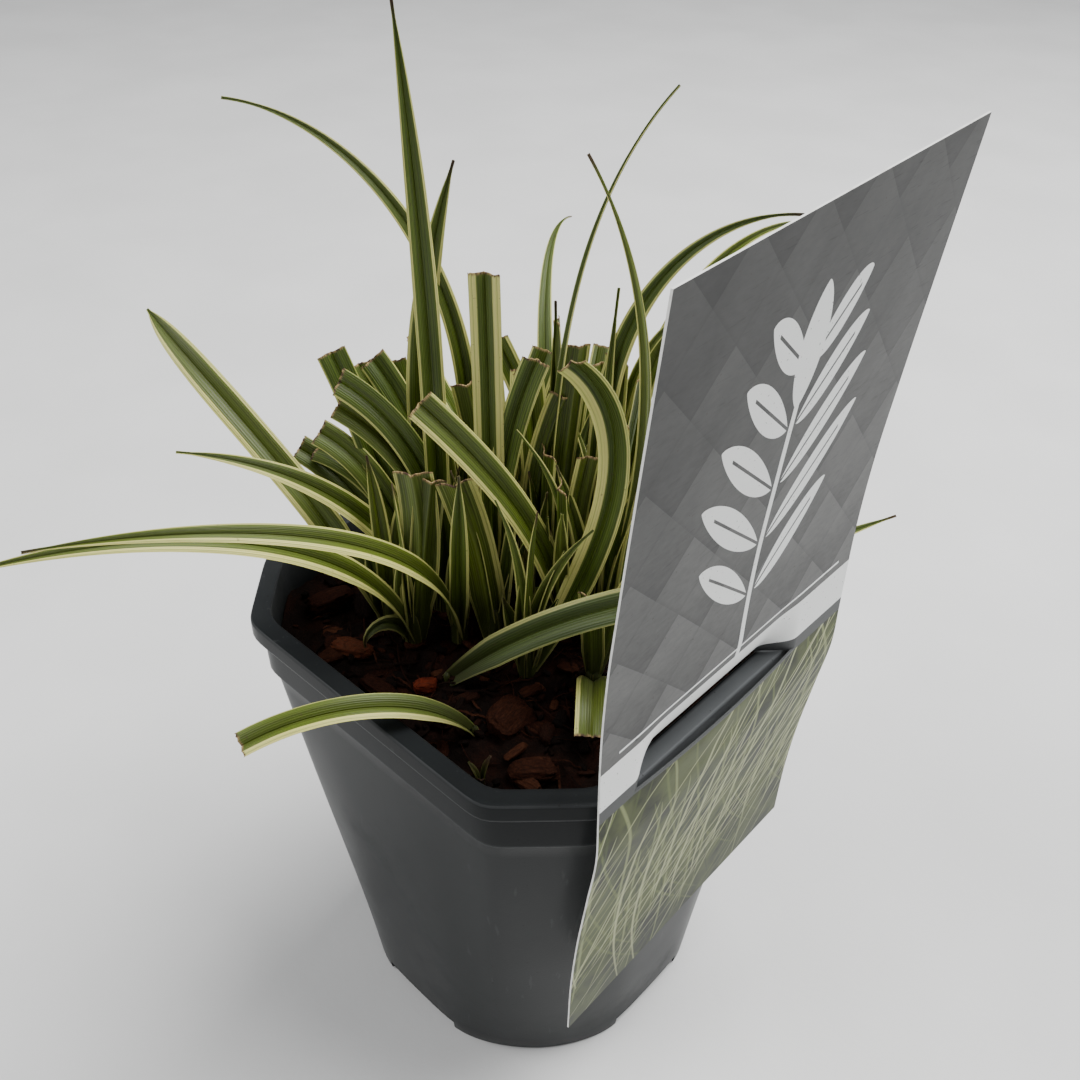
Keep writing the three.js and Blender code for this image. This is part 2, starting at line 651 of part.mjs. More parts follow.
function makeLabel() {
  const half = [0, 11, TONGUE_HALF_WIDTH, 27.5, SLIT_HALF_WIDTH];
  const inner = [...half.slice(1).toReversed().map((offset) => -offset), ...half];
  const columns = [-LABEL_HALF_WIDTH, ...inner.map((offset) => SLIT_MIDDLE + offset), 39, LABEL_HALF_WIDTH];
  const below = [58, 80, 100, 120, BELLY_HEIGHT, 145].map((height) => (y) => labelPoint(y, height, false));
  const above = [153, 158, 165, 174, 195, 220, 250, 281].map((height) => (y) => labelPoint(y, height, true));
  const slitBelow = (y) => labelPoint(y, SLIT_HEIGHT, false);
  const slitAbove = (y) => labelPoint(y, SLIT_HEIGHT, true);
  const rows = [...below, slitBelow, slitAbove, ...above];
  const slitRow = below.length;
  const places = [];
  for (const offset of [LABEL_THICKNESS / 2, -LABEL_THICKNESS / 2]) {
    for (const row of rows) {
      for (const y of columns) places.push(row(y).x + offset, y, row(y).z);
    }
  }
  const front = (i, j) => i * columns.length + j;
  const back = (i, j) => front(i + rows.length, j);
  const index = [];
  const quad = (a, b, c, d) => index.push(a, b, c, a, c, d);
  const lowerEdge = (i, j) => quad(front(i, j), back(i, j), back(i, j + 1), front(i, j + 1));
  const upperEdge = (i, j) => quad(front(i, j), front(i, j + 1), back(i, j + 1), back(i, j));
  const lastRow = rows.length - 1;
  const lastColumn = columns.length - 1;
  for (let j = 0; j < lastColumn; j += 1) {
    lowerEdge(0, j);
    upperEdge(lastRow, j);
    const inSlit = Math.abs((columns[j] + columns[j + 1]) / 2 - SLIT_MIDDLE) < SLIT_HALF_WIDTH;
    if (inSlit) {
      upperEdge(slitRow, j);
      lowerEdge(slitRow + 1, j);
    }
  }
  for (let i = 0; i < lastRow; i += 1) {
    if (i === slitRow) continue;
    quad(front(i, 0), front(i + 1, 0), back(i + 1, 0), back(i, 0));
    quad(front(i, lastColumn), back(i, lastColumn), back(i + 1, lastColumn), front(i + 1, lastColumn));
    for (let j = 0; j < lastColumn; j += 1) {
      quad(front(i, j), front(i, j + 1), front(i + 1, j + 1), front(i + 1, j));
      index.push(back(i, j), back(i + 1, j + 1), back(i, j + 1));
      index.push(back(i, j), back(i + 1, j), back(i + 1, j + 1));
    }
  }
  const geometry = new THREE.BufferGeometry();
  geometry.setAttribute('position', new THREE.Float32BufferAttribute(places, 3));
  geometry.setIndex(index);
  return meshOf('label', geometryOf(solidOf(geometry)), 0x73797c, 0.35);
}

// ---------------------------------------------------------------- the whole

const leaves = settle([...namedLeaves(), ...fillerLeaves()]);
const sedge = new THREE.Group();
sedge.add(makePot());
sedge.add(makeGrowingMedium(leaves));
sedge.add(makeLabel());
for (const name of Object.keys(SHOOTS)) {
  sedge.add(makeShoot(name, leaves.filter((leaf) => leaf.shoot === name)));
}

export default sedge;
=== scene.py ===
# A variegated carex sedge in its nursery pot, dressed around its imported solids.
# Lengths in the script are millimetres; MM turns them into metres where a mesh is made.

import math
import random
from types import SimpleNamespace

import bmesh
import bpy
import numpy as np
from mathutils import Matrix, Vector, noise


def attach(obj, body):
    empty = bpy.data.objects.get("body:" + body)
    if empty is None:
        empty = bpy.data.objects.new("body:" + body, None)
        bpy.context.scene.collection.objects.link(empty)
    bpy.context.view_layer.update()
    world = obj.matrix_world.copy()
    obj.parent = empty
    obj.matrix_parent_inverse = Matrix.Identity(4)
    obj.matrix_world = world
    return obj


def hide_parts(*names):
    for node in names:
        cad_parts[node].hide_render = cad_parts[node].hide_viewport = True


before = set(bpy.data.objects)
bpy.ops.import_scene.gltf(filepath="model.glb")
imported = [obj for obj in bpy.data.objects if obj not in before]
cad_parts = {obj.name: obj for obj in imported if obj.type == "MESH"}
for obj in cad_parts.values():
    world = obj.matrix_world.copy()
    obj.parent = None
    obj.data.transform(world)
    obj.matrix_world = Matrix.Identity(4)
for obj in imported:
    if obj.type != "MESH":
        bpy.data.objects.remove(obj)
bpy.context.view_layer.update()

MM = 0.001

# ---------------------------------------------------------------- driving dimensions

POT_HEIGHT = 150
RIM_SIDE = 65
RIM_CORNER = 77.2
BASE_SIDE = 53.5
BASE_ROUND = 55.7
WALL = 1.5
SHOULDER_HEIGHT = 131
FLOOR_TOP = 6.5
ARCH_HALF_WIDTH = 15.5
ARCH_HEIGHT = 4
ARCH_DEPTH = 20
HOLES = 6
HOLE_RADIUS = 5
HOLE_DEPTH = 8
HOLE_CIRCLE = 36
INNER_TOP = RIM_SIDE - 5.3

SOIL_LEVEL = 138
PLUG_RADIUS = 3.4

LABEL_HALF_WIDTH = 50
LABEL_THICKNESS = 0.5
SLIT_MIDDLE = -5
SLIT_HALF_WIDTH = 33
SLIT_BELLY = 1.2
TONGUE_HALF_WIDTH = 22
TONGUE_HEIGHT = 22

BLADE_THICKNESS = 0.42

# ---------------------------------------------------------------- shoots and leaves

# Each shoot: x and y of its base on the soil, the height of its sheath, then how many plain
# leaves fill it out, and how long those are.
SHOOTS = {
    "left_tall": (-20, -17, 12, 1, 60),
    "left_fan": (-25, -6, 12, 2, 60),
    "front_left": (-27, -31, 9, 2, 48),
    "left_low": (-29, -18.5, 12, 0, 50),
    "inner_front": (-8, -22, 12, 3, 58),
    "front_mid": (-17, -31, 9, 3, 52),
    "middle_front": (1, -17, 12, 3, 56),
    "right_arch": (11, -2, 12, 2, 58),
    "right_front": (14, -18, 9, 3, 50),
    "inner_tall": (-8, -9, 12, 2, 62),
    "near_right": (1, -35, 2.5, 0, 0),
    "edge": (20, -43, 2.5, 0, 0),
    "rim_side": (29, -8, 4, 2, 36),
    "middle": (0, 2, 12, 2, 64),
    "right_mid": (21, 4, 12, 3, 64),
    "right_back": (12, 14, 12, 3, 72),
    "back": (4, 26, 12, 2, 66),
    "left_arch": (-16, -2, 12, 2, 68),
    "back_mid": (-7, 14, 12, 3, 74),
    "label_side": (23, 16, 6, 3, 58),
    "back_left": (-19, 12, 12, 3, 68),
    "back_far": (-11, 27, 12, 3, 62),
}

# Each leaf: its shoot; the heading it leaves in and its rise above level, in degrees; its
# length; how far it droops and sways by its tip, in degrees; how late it bends; its width;
# how far its face is turned about its length, in degrees; and its end. A cropped leaf keeps
# its width, and any other narrows to a point, the later the larger the number.
CROPPED = 0
SLENDER = 1.9
POINTED = 3.2
BLUNT = 7
LEAVES = [
    ("left_tall", 210, 91, 161, 6, 1, 1.8, 7, -55, POINTED),
    ("left_fan", 215, 75, 127, -33, 4, 1, 8.5, -80, POINTED),
    ("left_fan", 212, 98, 163, 95, 3, 2.3, 6.2, -60, SLENDER),
    ("front_left", 213, 73, 114, 59, -40, 1, 9, -38, BLUNT),
    ("left_low", 245, 84, 89, 68, -4, 0.9, 8, -45, SLENDER),
    ("inner_front", 290, 86, 134, 91, -55, 0.8, 6.8, -48, SLENDER),
    ("front_mid", 271, 82, 131, 88, -26, 0.8, 7.2, -48, SLENDER),
    ("front_mid", 223, 100, 56, 18, 0, 1.8, 11, 85, CROPPED),
    ("front_mid", 247, 84, 23, 186, 20, 1.6, 5, -60, SLENDER),
    ("middle_front", 240, 86, 57, 13, 0, 1.5, 10.5, 75, CROPPED),
    ("right_arch", 264, 90, 88, 47, -50, 0.8, 8.5, -62, CROPPED),
    ("right_front", 68, 60, 101, -79, 4, 2.2, 8.5, 50, CROPPED),
    ("inner_tall", 150, 91, 104, 5, 0, 1.6, 8, -15, CROPPED),
    ("near_right", 30, 50, 63, 28, 5, 1.1, 9, 50, CROPPED),
    ("edge", 246, 64, 63, 90, -4, 0.8, 7, -20, CROPPED),
    ("rim_side", -50, 45, 28, 80, 0, 1.5, 9.5, 0, CROPPED),
    ("middle", 47, 88, 150, 38, -9, 3.5, 3.2, 25, SLENDER),
    ("right_mid", 32, 84, 138, -40, 3, 2.3, 4, -60, SLENDER),
    ("right_back", 33, 94, 141, 93, -3, 3.1, 7, 85, SLENDER),
    ("back", 65, 85, 132, 105, -8, 3.4, 6, 45, SLENDER),
    ("left_low", 190, 80, 77, 19, -2, 1.5, 8.5, -40, CROPPED),
    ("left_low", 205, 87, 61, 63, 4, 1.9, 8, -50, CROPPED),
    ("left_low", 205, 73, 57, 49, 3, 1.9, 8, -42, CROPPED),
    ("left_tall", 216, 98, 75, 75, -8, 1.6, 8, -55, CROPPED),
    ("left_tall", 209, 99, 81, 74, -1, 1.7, 8, -60, CROPPED),
    ("left_fan", 190, 68, 71, 8, 2, 1.8, 8, -36, CROPPED),
    ("left_fan", 195, 85, 74, 37, 2, 1.8, 8.5, -48, CROPPED),
    ("left_low", 202, 97, 59, 90, 3, 1.5, 8.5, -44, CROPPED),
    ("left_fan", 180, 76, 69, 11, -2, 1.5, 8, -30, CROPPED),
    ("left_arch", 169, 92, 80, 21, -6, 1.3, 8, -20, CROPPED),
    ("left_arch", 224, 98, 69, 54, 5, 2.2, 8, -75, CROPPED),
    ("inner_tall", 45, 91, 84, 22, 0, 1.6, 7.5, 80, CROPPED),
    ("middle", 40, 98, 72, 29, 1, 1.5, 8.5, -70, CROPPED),
    ("middle", 45, 80, 85, 0, 0, 1.6, 7.5, -75, CROPPED),
    ("right_arch", 221, 98, 70, 49, -9, 1.8, 4.5, 60, SLENDER),
    ("right_front", 41, 91, 52, 44, 3, 1.4, 4.5, 65, SLENDER),
    ("right_front", 225, 92, 58, 23, 1, 1.7, 4.5, 60, SLENDER),
    ("right_back", 96, 96, 100, 14, 5, 1.4, 4.5, 25, SLENDER),
    ("back_mid", 150, 91, 129, 109, -37, 1.7, 5.5, -5, SLENDER),
    ("back_mid", 120, 88, 91, -9, -2, 1.7, 5.5, 10, SLENDER),
    ("back", 40, 90, 112, 140, 5, 4.5, 3.5, 60, SLENDER),
    ("label_side", 55, 25, 79, 10, 0, 1.7, 6, 35, SLENDER),
    ("front_mid", 43, 85, 54, 3, 0, 1.5, 8.5, -85, CROPPED),
]
LEAF_SEED = 7

# How much of each half of a leaf is cream, on the two sides of its keel, for the rows of
# LEAVES whose margins are broad or thin. The other leaves draw theirs.
MARGINS = {
    0: (0.24, 0.2), 1: (0.3, 0.2), 3: (0.22, 0.34), 4: (0.2, 0.5), 5: (0.16, 0.5), 6: (0.18, 0.5),
    7: (0.12, 0.16), 9: (0.12, 0.34), 10: (0.16, 0.3), 11: (0.18, 0.62), 12: (0.5, 0.5),
    13: (0.08, 0.22), 14: (0.06, 0.42), 15: (0.24, 0.1), 20: (0.05, 0.08), 21: (0.08, 0.05),
    22: (0.06, 0.07), 23: (0.07, 0.05), 24: (0.05, 0.12), 25: (0.05, 0.06), 26: (0.07, 0.1),
    27: (0.05, 0.07), 28: (0.06, 0.05), 31: (0.14, 0.14), 32: (0.34, 0.14), 42: (0.12, 0.16),
}
AGED = {13: 0.8, 12: 0.1, 3: 0.15, 42: 0.4}  # how dull and dark the oldest rows of LEAVES are
UNCUT_FRONT = -16.5  # shoots further to the front than this y have whole young leaves
BACKWARD = 133  # heading of the clump's back; whole young leaves stand on that side

# Bark chips that lie in plain sight: x, y, height of the middle over the soil, length,
# width, thickness, and turn in degrees.
LARGE_CHIPS = [
    (-26, -46, 1.5, 13, 7, 4, 20),
    (-1, -41, 1, 8, 5, 4, 60),
    (24, -34, 2, 16, 11, 6, 100),
    (39, -43, 1.5, 14, 8, 5, 45),
    (10, -46, 1.5, 11, 7, 5, 150),
    (-9, -51, 1, 12, 6, 5, 15),
    (-45, -38, 2, 15, 8, 6, 70),
    (-52, -26, 1, 13, 6, 5, 110),
]
CHIP_TONES = (0.84, 0.98, 0.62, 0.62, 0.4, 0.55, 0.6, 0.45)  # from black humus to fresh orange bark
SMALL_CHIPS = 16
CHIP_SEED = 23
CHIP_STEPS = 8  # faces along each edge of a chip
FLAKE_STEPS = 3
FLAKES = 620
FIBRES = 420


# ---------------------------------------------------------------- shader maths

def maths(operation):
    """A method that adds a Math node, which works on a value and on what else it is given."""
    return lambda value, *others: value.finish.maths(operation, value, *others)


class Value:
    """A socket of a material's nodes. Arithmetic on it adds Math nodes."""

    def __init__(self, finish, socket):
        self.finish = finish
        self.socket = socket

    __add__ = __radd__ = maths("ADD")
    __sub__ = maths("SUBTRACT")
    __mul__ = __rmul__ = maths("MULTIPLY")
    __truediv__ = maths("DIVIDE")
    __pow__ = maths("POWER")
    __lt__ = maths("LESS_THAN")
    __gt__ = maths("GREATER_THAN")
    __abs__ = maths("ABSOLUTE")
    sine = maths("SINE")
    floor = maths("FLOOR")
    fraction = maths("FRACT")
    at_least = maths("MAXIMUM")
    at_most = maths("MINIMUM")

    def __rsub__(self, other):
        return self.finish.maths("SUBTRACT", other, self)

    def rising(self, start, end, low=0.0, high=1.0):
        """A smooth step from low to high as the value goes from start to end."""
        sockets = {"Value": self, "From Min": start, "From Max": end, "To Min": low, "To Max": high}
        return self.finish.add("ShaderNodeMapRange", {"interpolation_type": "SMOOTHSTEP"}, sockets)

    def falling(self, start, end):
        """A smooth step from 1 to 0 as the value goes from start to end."""
        return self.rising(start, end, 1, 0)


class Finish:
    """A material and the nodes it is made of."""

    def __init__(self, name):
        self.material = bpy.data.materials.new(name)
        self.material.use_nodes = True
        self.tree = self.material.node_tree
        self.surface = self.tree.nodes["Principled BSDF"]

    def add(self, kind, settings=None, sockets=None, output=0):
        """Adds a node, sets its settings and its sockets, and gives one of its outputs."""
        node = self.tree.nodes.new(kind)
        for name, setting in (settings or {}).items():
            setattr(node, name, setting)
        for name, value in (sockets or {}).items():
            self.join(value, node.inputs[name])
        return Value(self, node.outputs[output])

    def join(self, value, socket):
        if isinstance(value, Value):
            self.tree.links.new(value.socket, socket)
        elif socket.type == "RGBA" and len(value) == 3:
            socket.default_value = (*value, 1)
        else:
            socket.default_value = value

    def maths(self, operation, *terms):
        return self.add("ShaderNodeMath", {"operation": operation}, dict(enumerate(terms)))

    def ramp(self, value, stops):
        """A value's colour on a scale of colours, each at its place from 0 to 1."""
        color = self.add("ShaderNodeValToRGB", None, {"Fac": value})
        elements = color.socket.node.color_ramp.elements
        while len(elements) < len(stops):
            elements.new(1)
        for element, (place, tint) in zip(elements, stops):
            element.position = place
            element.color = (*tint, 1)
        return color

    def mix(self, mask, first, second):
        """Two colours mixed, the second where the mask is 1."""
        sockets = {0: mask, 6: first, 7: second}
        return self.add("ShaderNodeMix", {"data_type": "RGBA"}, sockets, output=2)

    def measure(self, name):
        """A number that the mesh carries at each point."""
        return self.add("ShaderNodeAttribute", {"attribute_name": name}, output="Fac")

    def place(self):
        return self.add("ShaderNodeNewGeometry", output="Position")

    def spread(self, vector, *scales):
        """A vector scaled along its axes."""
        return self.add("ShaderNodeVectorMath", {"operation": "MULTIPLY"}, {0: vector, 1: scales})

    def vector(self, x, y, z):
        return self.add("ShaderNodeCombineXYZ", None, {"X": x, "Y": y, "Z": z})

    def noise(self, vector, scale, detail=2.0, roughness=0.5):
        sockets = {"Vector": vector, "Scale": scale, "Detail": detail, "Roughness": roughness}
        return self.add("ShaderNodeTexNoise", None, sockets)

    def bump(self, height, distance, strength):
        sockets = {"Height": height, "Distance": distance, "Strength": strength}
        return self.add("ShaderNodeBump", None, sockets)

    def dress(self, **sockets):
        """Sets the surface's own sockets, named with _ for a space."""
        for name, value in sockets.items():
            self.join(value, self.surface.inputs[name.replace("_", " ")])
        return self.material


# ---------------------------------------------------------------- finishes

LEAF_GREEN = (0.060, 0.098, 0.005)
DEEP_GREEN = (0.024, 0.042, 0.003)
PALE_GREEN = (0.19, 0.24, 0.045)
CREAM = (0.68, 0.64, 0.22)
PALE_CREAM = (0.46, 0.47, 0.12)
GREEN_LINE = (0.15, 0.20, 0.03)
YELLOWED = (0.28, 0.27, 0.03)
DULL_GREEN = (0.022, 0.036, 0.010)
# Painted shade, with some soil, for the leaves' bases.
SHADE_AND_SOIL_GREEN = (0.020, 0.022, 0.006)
STRAW = (0.36, 0.25, 0.11)
DRIED_PURPLE = (0.07, 0.032, 0.022)


def leaf_finish():
    """Green down the middle with cream margins, fine veins and dry ends."""
    leaf = Finish("variegated_leaf")
    across = leaf.measure("across")
    along = leaf.measure("along")
    tone = leaf.measure("tone")
    to_end = leaf.measure("to_end")
    from_root = leaf.measure("from_root")
    cropped = leaf.measure("cropped")
    margin = leaf.measure("margin")
    half = abs(across)

    # Streaks that run the whole length: noise stretched along the leaf.
    lengthwise = leaf.vector(across * 6 + tone * 40, along * 1.6, tone * 17)
    streaks = leaf.noise(lengthwise, 1.0, detail=3)
    fine = leaf.noise(leaf.vector(across * 24 + tone * 60, along * 3, tone * 5), 1.0, detail=2)
    blotches = leaf.noise(leaf.vector(across * 1.5, along * 9, tone * 31), 1.0)

    wander = (streaks - 0.5) * 0.14 + (blotches - 0.5) * 0.05
    edge = 1 - margin + wander
    cream = half.rising(edge - 0.03, edge + 0.025)
    border = half.rising(edge - 0.10, edge - 0.02)
    # A thin green line or two inside the cream, and a cream one inside the green.
    has_inner_line = (tone * 7).fraction().rising(0.5, 0.7)
    inner_line = abs(half - (edge - 0.2)).falling(0.012, 0.035) * has_inner_line
    outer_line = abs(half - (edge + margin * 0.55)).falling(0.012, 0.04) * 0.55

    veins = ((across * 46).sine() * 0.5 + 0.5) ** 3
    midrib = half.falling(0.01, 0.055)
    green = leaf.mix(streaks.rising(0.3, 0.7), DEEP_GREEN, LEAF_GREEN)
    green = leaf.mix(veins * 0.22 + fine.rising(0.5, 0.75) * 0.22, green, PALE_GREEN)
    green = leaf.mix(border * 0.3 + midrib * 0.35 + inner_line * 0.6, green, PALE_GREEN)
    pale = leaf.mix(fine.rising(0.35, 0.7) * 0.5, CREAM, PALE_CREAM)
    pale = leaf.mix(outer_line, pale, GREEN_LINE)
    color = leaf.mix(cream, green, pale)
    # Leaves differ from fresh to a little yellow, and all are dull and darker at the base: partly
    # soil, mostly painted shade near the soil.
    color = leaf.mix((tone * 13).fraction() * 0.12, color, YELLOWED)
    color = leaf.mix(leaf.measure("aged") * (0.45 + streaks * 0.3), color, DULL_GREEN)
    # Painted shade, with some soil, darkens each leaf over its lowest 30 millimetres from the soil.
    color = leaf.mix(from_root.rising(2, 30, 0.8, 0), color, SHADE_AND_SOIL_GREEN)

    specks = leaf.noise(leaf.place(), 900, detail=1).rising(0.72, 0.76)
    color = leaf.mix(specks * 0.35, color, DRIED_PURPLE)
    ragged = to_end + (fine - 0.5) * 1.2
    cut = ragged.falling(0.1, 0.8) * cropped
    tip = ragged.falling(0.5, 5.5) * (1 - cropped) * (tone * 5).fraction().rising(0.2, 0.6)
    color = leaf.mix(cut, color, leaf.mix(streaks.rising(0.4, 0.6), STRAW, DRIED_PURPLE))
    color = leaf.mix(tip * 0.85, color, DRIED_PURPLE)

    relief = veins * 0.5 + fine * 0.35 - midrib * 0.8
    rough = 0.44 + (fine - 0.5) * 0.2 + cut * 0.35
    return leaf.dress(
        Base_Color=color,
        Roughness=rough,
        Normal=leaf.bump(relief, 0.00012, 0.9),
        Specular_IOR_Level=0.38,
        Subsurface_Weight=0.12,
        Subsurface_Radius=(0.5, 0.9, 0.2),
        Subsurface_Scale=0.0006,
    )


PLASTIC_BLACK = (0.010, 0.011, 0.0115)
PLASTIC_GREY = (0.014, 0.0155, 0.0162)
# Chalky dust and a painted sheen on the walls.
CHALKY_SHEEN_GREY = (0.06, 0.063, 0.062)
# Painted highlight, with some wear, for the rounded edges.
EDGE_GLINT_GREY = (0.06, 0.063, 0.063)
# Painted reflection and painted light for the lip and rim.
SCUFFED_GREY = (0.09, 0.095, 0.095)
PAINTED_LIGHT_GREY = (0.10, 0.105, 0.108)
DIRT = (0.01, 0.009, 0.008)


def pot_finish():
    """Dark satin plastic, finely mottled, with scuffs, dust and specks of dirt, a painted sheen on
    the walls, painted highlights on the rounded edges and painted light on the lip.
    """
    pot = Finish("moulded_plastic")
    place = pot.place()
    mottle = pot.noise(place, 60, detail=4)
    grain = pot.noise(place, 1500, detail=2)
    scuffs = pot.noise(pot.spread(place, 1, 1, 0.12), 420, detail=3).rising(0.66, 0.74)
    dust = pot.noise(place, 25, detail=5, roughness=0.65).rising(0.5, 0.75)
    specks = pot.noise(place, 700, detail=1).rising(0.74, 0.77)
    color = pot.mix(mottle, PLASTIC_BLACK, PLASTIC_GREY)
    # The walls under the rim are painted lighter: partly chalky dust, partly a painted sheen where
    # they reflect the bright floor.
    chalky_sheen = pot.measure("chalky_sheen") * (0.38 + dust * 0.4)
    color = pot.mix(chalky_sheen * 0.72, color, CHALKY_SHEEN_GREY)
    color = pot.mix(scuffs * 0.2, color, SCUFFED_GREY)
    # Painted highlight on the rounded edges, with some wear.
    color = pot.mix(pot.measure("rounded_edges") * (0.25 + mottle * 0.5), color, EDGE_GLINT_GREY)
    # Painted reflection on the lip in the label's slit, and painted light on the rim's far left.
    color = pot.mix(pot.measure("painted_light") * (0.5 + mottle * 0.6), color, PAINTED_LIGHT_GREY)
    color = pot.mix(specks * 0.5, color, DIRT)
    return pot.dress(
        Base_Color=color,
        Roughness=0.3 + dust * 0.16 + (mottle - 0.5) * 0.1,
        Normal=pot.bump(grain, 0.00002, 0.7),
        Specular_IOR_Level=0.06,
    )


# Bark from wet humus to fresh orange flakes: a place on the scale from 0 to 1, and its colour.
BARK_TONES = (
    (0.0, (0.0016, 0.001, 0.0008)),
    (0.35, (0.006, 0.0026, 0.0016)),
    (0.6, (0.017, 0.0048, 0.0022)),
    (0.8, (0.052, 0.018, 0.008)),
    (1.0, (0.085, 0.013, 0.005)),
)
CRUMB_BLACK = (0.003, 0.002, 0.0015)
GRAIN_AXES = ("grain_x", "grain_y", "grain_z")


def bark_finish():
    """Composted bark: dark humus to red and orange flakes, grained along each chip."""
    bark = Finish("composted_bark")
    tone = bark.measure("tone")
    grain_place = bark.vector(*map(bark.measure, GRAIN_AXES))
    layers = bark.noise(bark.spread(grain_place, 0.35, 2.2, 5), 1.0, detail=4, roughness=0.6)
    crumbs = bark.noise(bark.place(), 900, detail=4, roughness=0.7)
    color = bark.ramp(tone + (layers - 0.5) * 0.4, BARK_TONES)
    color = bark.mix(crumbs.rising(0.45, 0.7) * 0.5, color, CRUMB_BLACK)
    return bark.dress(
        Base_Color=color,
        Roughness=0.72 + (crumbs - 0.5) * 0.4,
        Normal=bark.bump(layers * 0.6 + crumbs * 0.6, 0.0008, 1.0),
        Specular_IOR_Level=0.05,
    )


# Colours of the label's print and sheet.
LABEL_WHITE = (0.86, 0.87, 0.85)
QUILT_DARK = (0.064, 0.064, 0.063)
QUILT_PALE = (0.158, 0.158, 0.153)
QUILT_SEAM = (0.045, 0.045, 0.045)
QUILT_TOP = (0.038, 0.038, 0.038)
STRIP_GREY = (0.085, 0.088, 0.088)
PRINT_DIRT = (0.06, 0.05, 0.045)

# Heights on the label, in millimetres: the pale band with a grey strip under it, and the
# thin rule over it.
BAND_HIGH = 166.5
BAND_LOW = 154.0
STRIP_LOW = 149.8
RULE_HEIGHT = 169.2
RULE_HALF_BREADTH = 0.35
RULE_HALF_LENGTH = 44


def quilted_field(label, side, height):
    """A grey ground of soft diamonds, each a little lighter towards one corner."""
    diamond = 21.0
    rising = (height + side * 1.1) / diamond
    falling = (height - side * 1.1) / diamond
    checker = ((rising.floor() + falling.floor()) * 0.5).fraction() * 2
    slope = rising.fraction() * 0.5 + falling.fraction() * 0.5
    seam = rising.fraction().at_most(falling.fraction()).falling(0.0, 0.09)
    clouds = label.noise(label.vector(side, height, 0), 0.06, detail=2)
    weave = label.noise(label.vector(side * 0.5, height, 3), 0.8, detail=4, roughness=0.6)
    tone = checker * 0.22 + slope * 0.5 + (clouds - 0.5) * 0.7 + (weave - 0.5) * 0.6 + 0.1
    ground = label.mix(tone, QUILT_DARK, QUILT_PALE)
    ground = label.mix(seam * 0.2, ground, QUILT_SEAM)
    return label.mix(height.rising(180, 270) * 0.6, ground, QUILT_TOP)


def sprig_mask(side, height):
    """A stem with almond leaves in pairs, each pair slanting up from the stem."""
    foot = 178.0
    top = 262.0
    pitch = 15.0
    slant = 0.9
    off_stem = abs(side)
    rung = (height - off_stem * slant - foot) / pitch
    number = rung.floor()
    reach = 27.0 - abs(number - 1.2) * 4.2
    share = (off_stem - 1.5) / reach
    inside = (share > 0) * (share < 1)
    body = (share * (1 - share)).at_least(0) ** 0.75 * 11.5
    off_axis = abs(rung.fraction() - 0.5) * pitch * 0.78
    rib = (off_axis > 0.35).at_least(share > 0.8)
    leaves = (off_axis < body) * inside * (number > -0.5) * (number < 4.5) * rib
    stem = (off_stem < 0.85) * (height > foot - 16) * (height < top - 12)
    up_tip = (height - (top - 26)) / 28.0
    tip_width = (up_tip * (1 - up_tip)).at_least(0) ** 0.75 * 13
    tip = (off_stem < tip_width) * (up_tip > 0) * (up_tip < 1)
    return leaves.at_least(stem).at_least(tip)


# Families of blades drawn at the label's foot: their lean, their bow, their spacing and
# breadth in millimetres, and their colour.
DRAWN_BLADES = (
    (0.5, 0.003, 4.4, 1.3, (0.07, 0.085, 0.03)),
    (-0.4, -0.004, 5.0, 1.2, (0.12, 0.145, 0.05)),
    (1.1, 0.005, 5.6, 1.2, (0.17, 0.20, 0.075)),
    (0.1, -0.005, 5.4, 1.1, (0.045, 0.052, 0.024)),
    (-0.1, 0.004, 6.4, 1.3, (0.24, 0.27, 0.12)),
    (0.9, -0.004, 7.2, 1.2, (0.34, 0.36, 0.19)),
    (0.3, 0.005, 8.0, 1.1, (0.06, 0.075, 0.03)),
    (0.2, -0.005, 8.4, 1.2, (0.42, 0.44, 0.25)),
    (1.4, 0.008, 9.6, 1.1, (0.50, 0.51, 0.32)),
    (0.6, 0.003, 9.0, 0.9, (0.48, 0.50, 0.29)),
)
BLADES_MIDDLE = 112
SHADY_GREEN = (0.024, 0.027, 0.017)
MEADOW_GREEN = (0.085, 0.10, 0.036)
# Painted sheen for the label's foot.
PAINTED_SHEEN_FOOT = (0.085, 0.088, 0.085)


def grassy_stripes(label, side, height):
    """Long bowed blades drawn over each other, pale green and cream on dull green and grey, with a
    painted sheen over the foot.
    """
    clouds = label.noise(label.vector(side, height, 6), 0.07, detail=3)
    color = label.mix(clouds.rising(0.35, 0.62), SHADY_GREEN, MEADOW_GREEN)
    for number, (lean, bow, spacing, breadth, tint) in enumerate(DRAWN_BLADES):
        rise = height - BLADES_MIDDLE
        across = side - rise * lean + rise * rise * bow
        wander = label.noise(label.vector(side * 0.014, height * 0.014, number * 7), 1.0, detail=0)
        place = across / spacing + wander * 2.5
        own = (place.floor() * 12.9898 + number * 3.1).sine() * 43.7
        off_middle = abs(place.fraction() - 0.5) * spacing
        # A blade starts and ends at heights of its own, and narrows to both.
        along = (rise + 62 - (own * 3).fraction() * 34) / (54 + own.fraction() * 44)
        reach = (along * (1 - along)).at_least(0) ** 0.4 * breadth
        grown = (own * 7).fraction() > 0.35
        blade = (off_middle - reach).falling(-0.4, 0.15) * (along > 0) * (along < 1) * grown
        shade = off_middle.rising(0, breadth * 0.8, 1, 0.45)
        color = label.mix(blade * shade * 0.85, color, tint)
    # The foot is greyed by a painted sheen, where the sheet reflects the floor.
    return label.mix(height.rising(60, 92, 0.35, 0), color, PAINTED_SHEEN_FOOT)


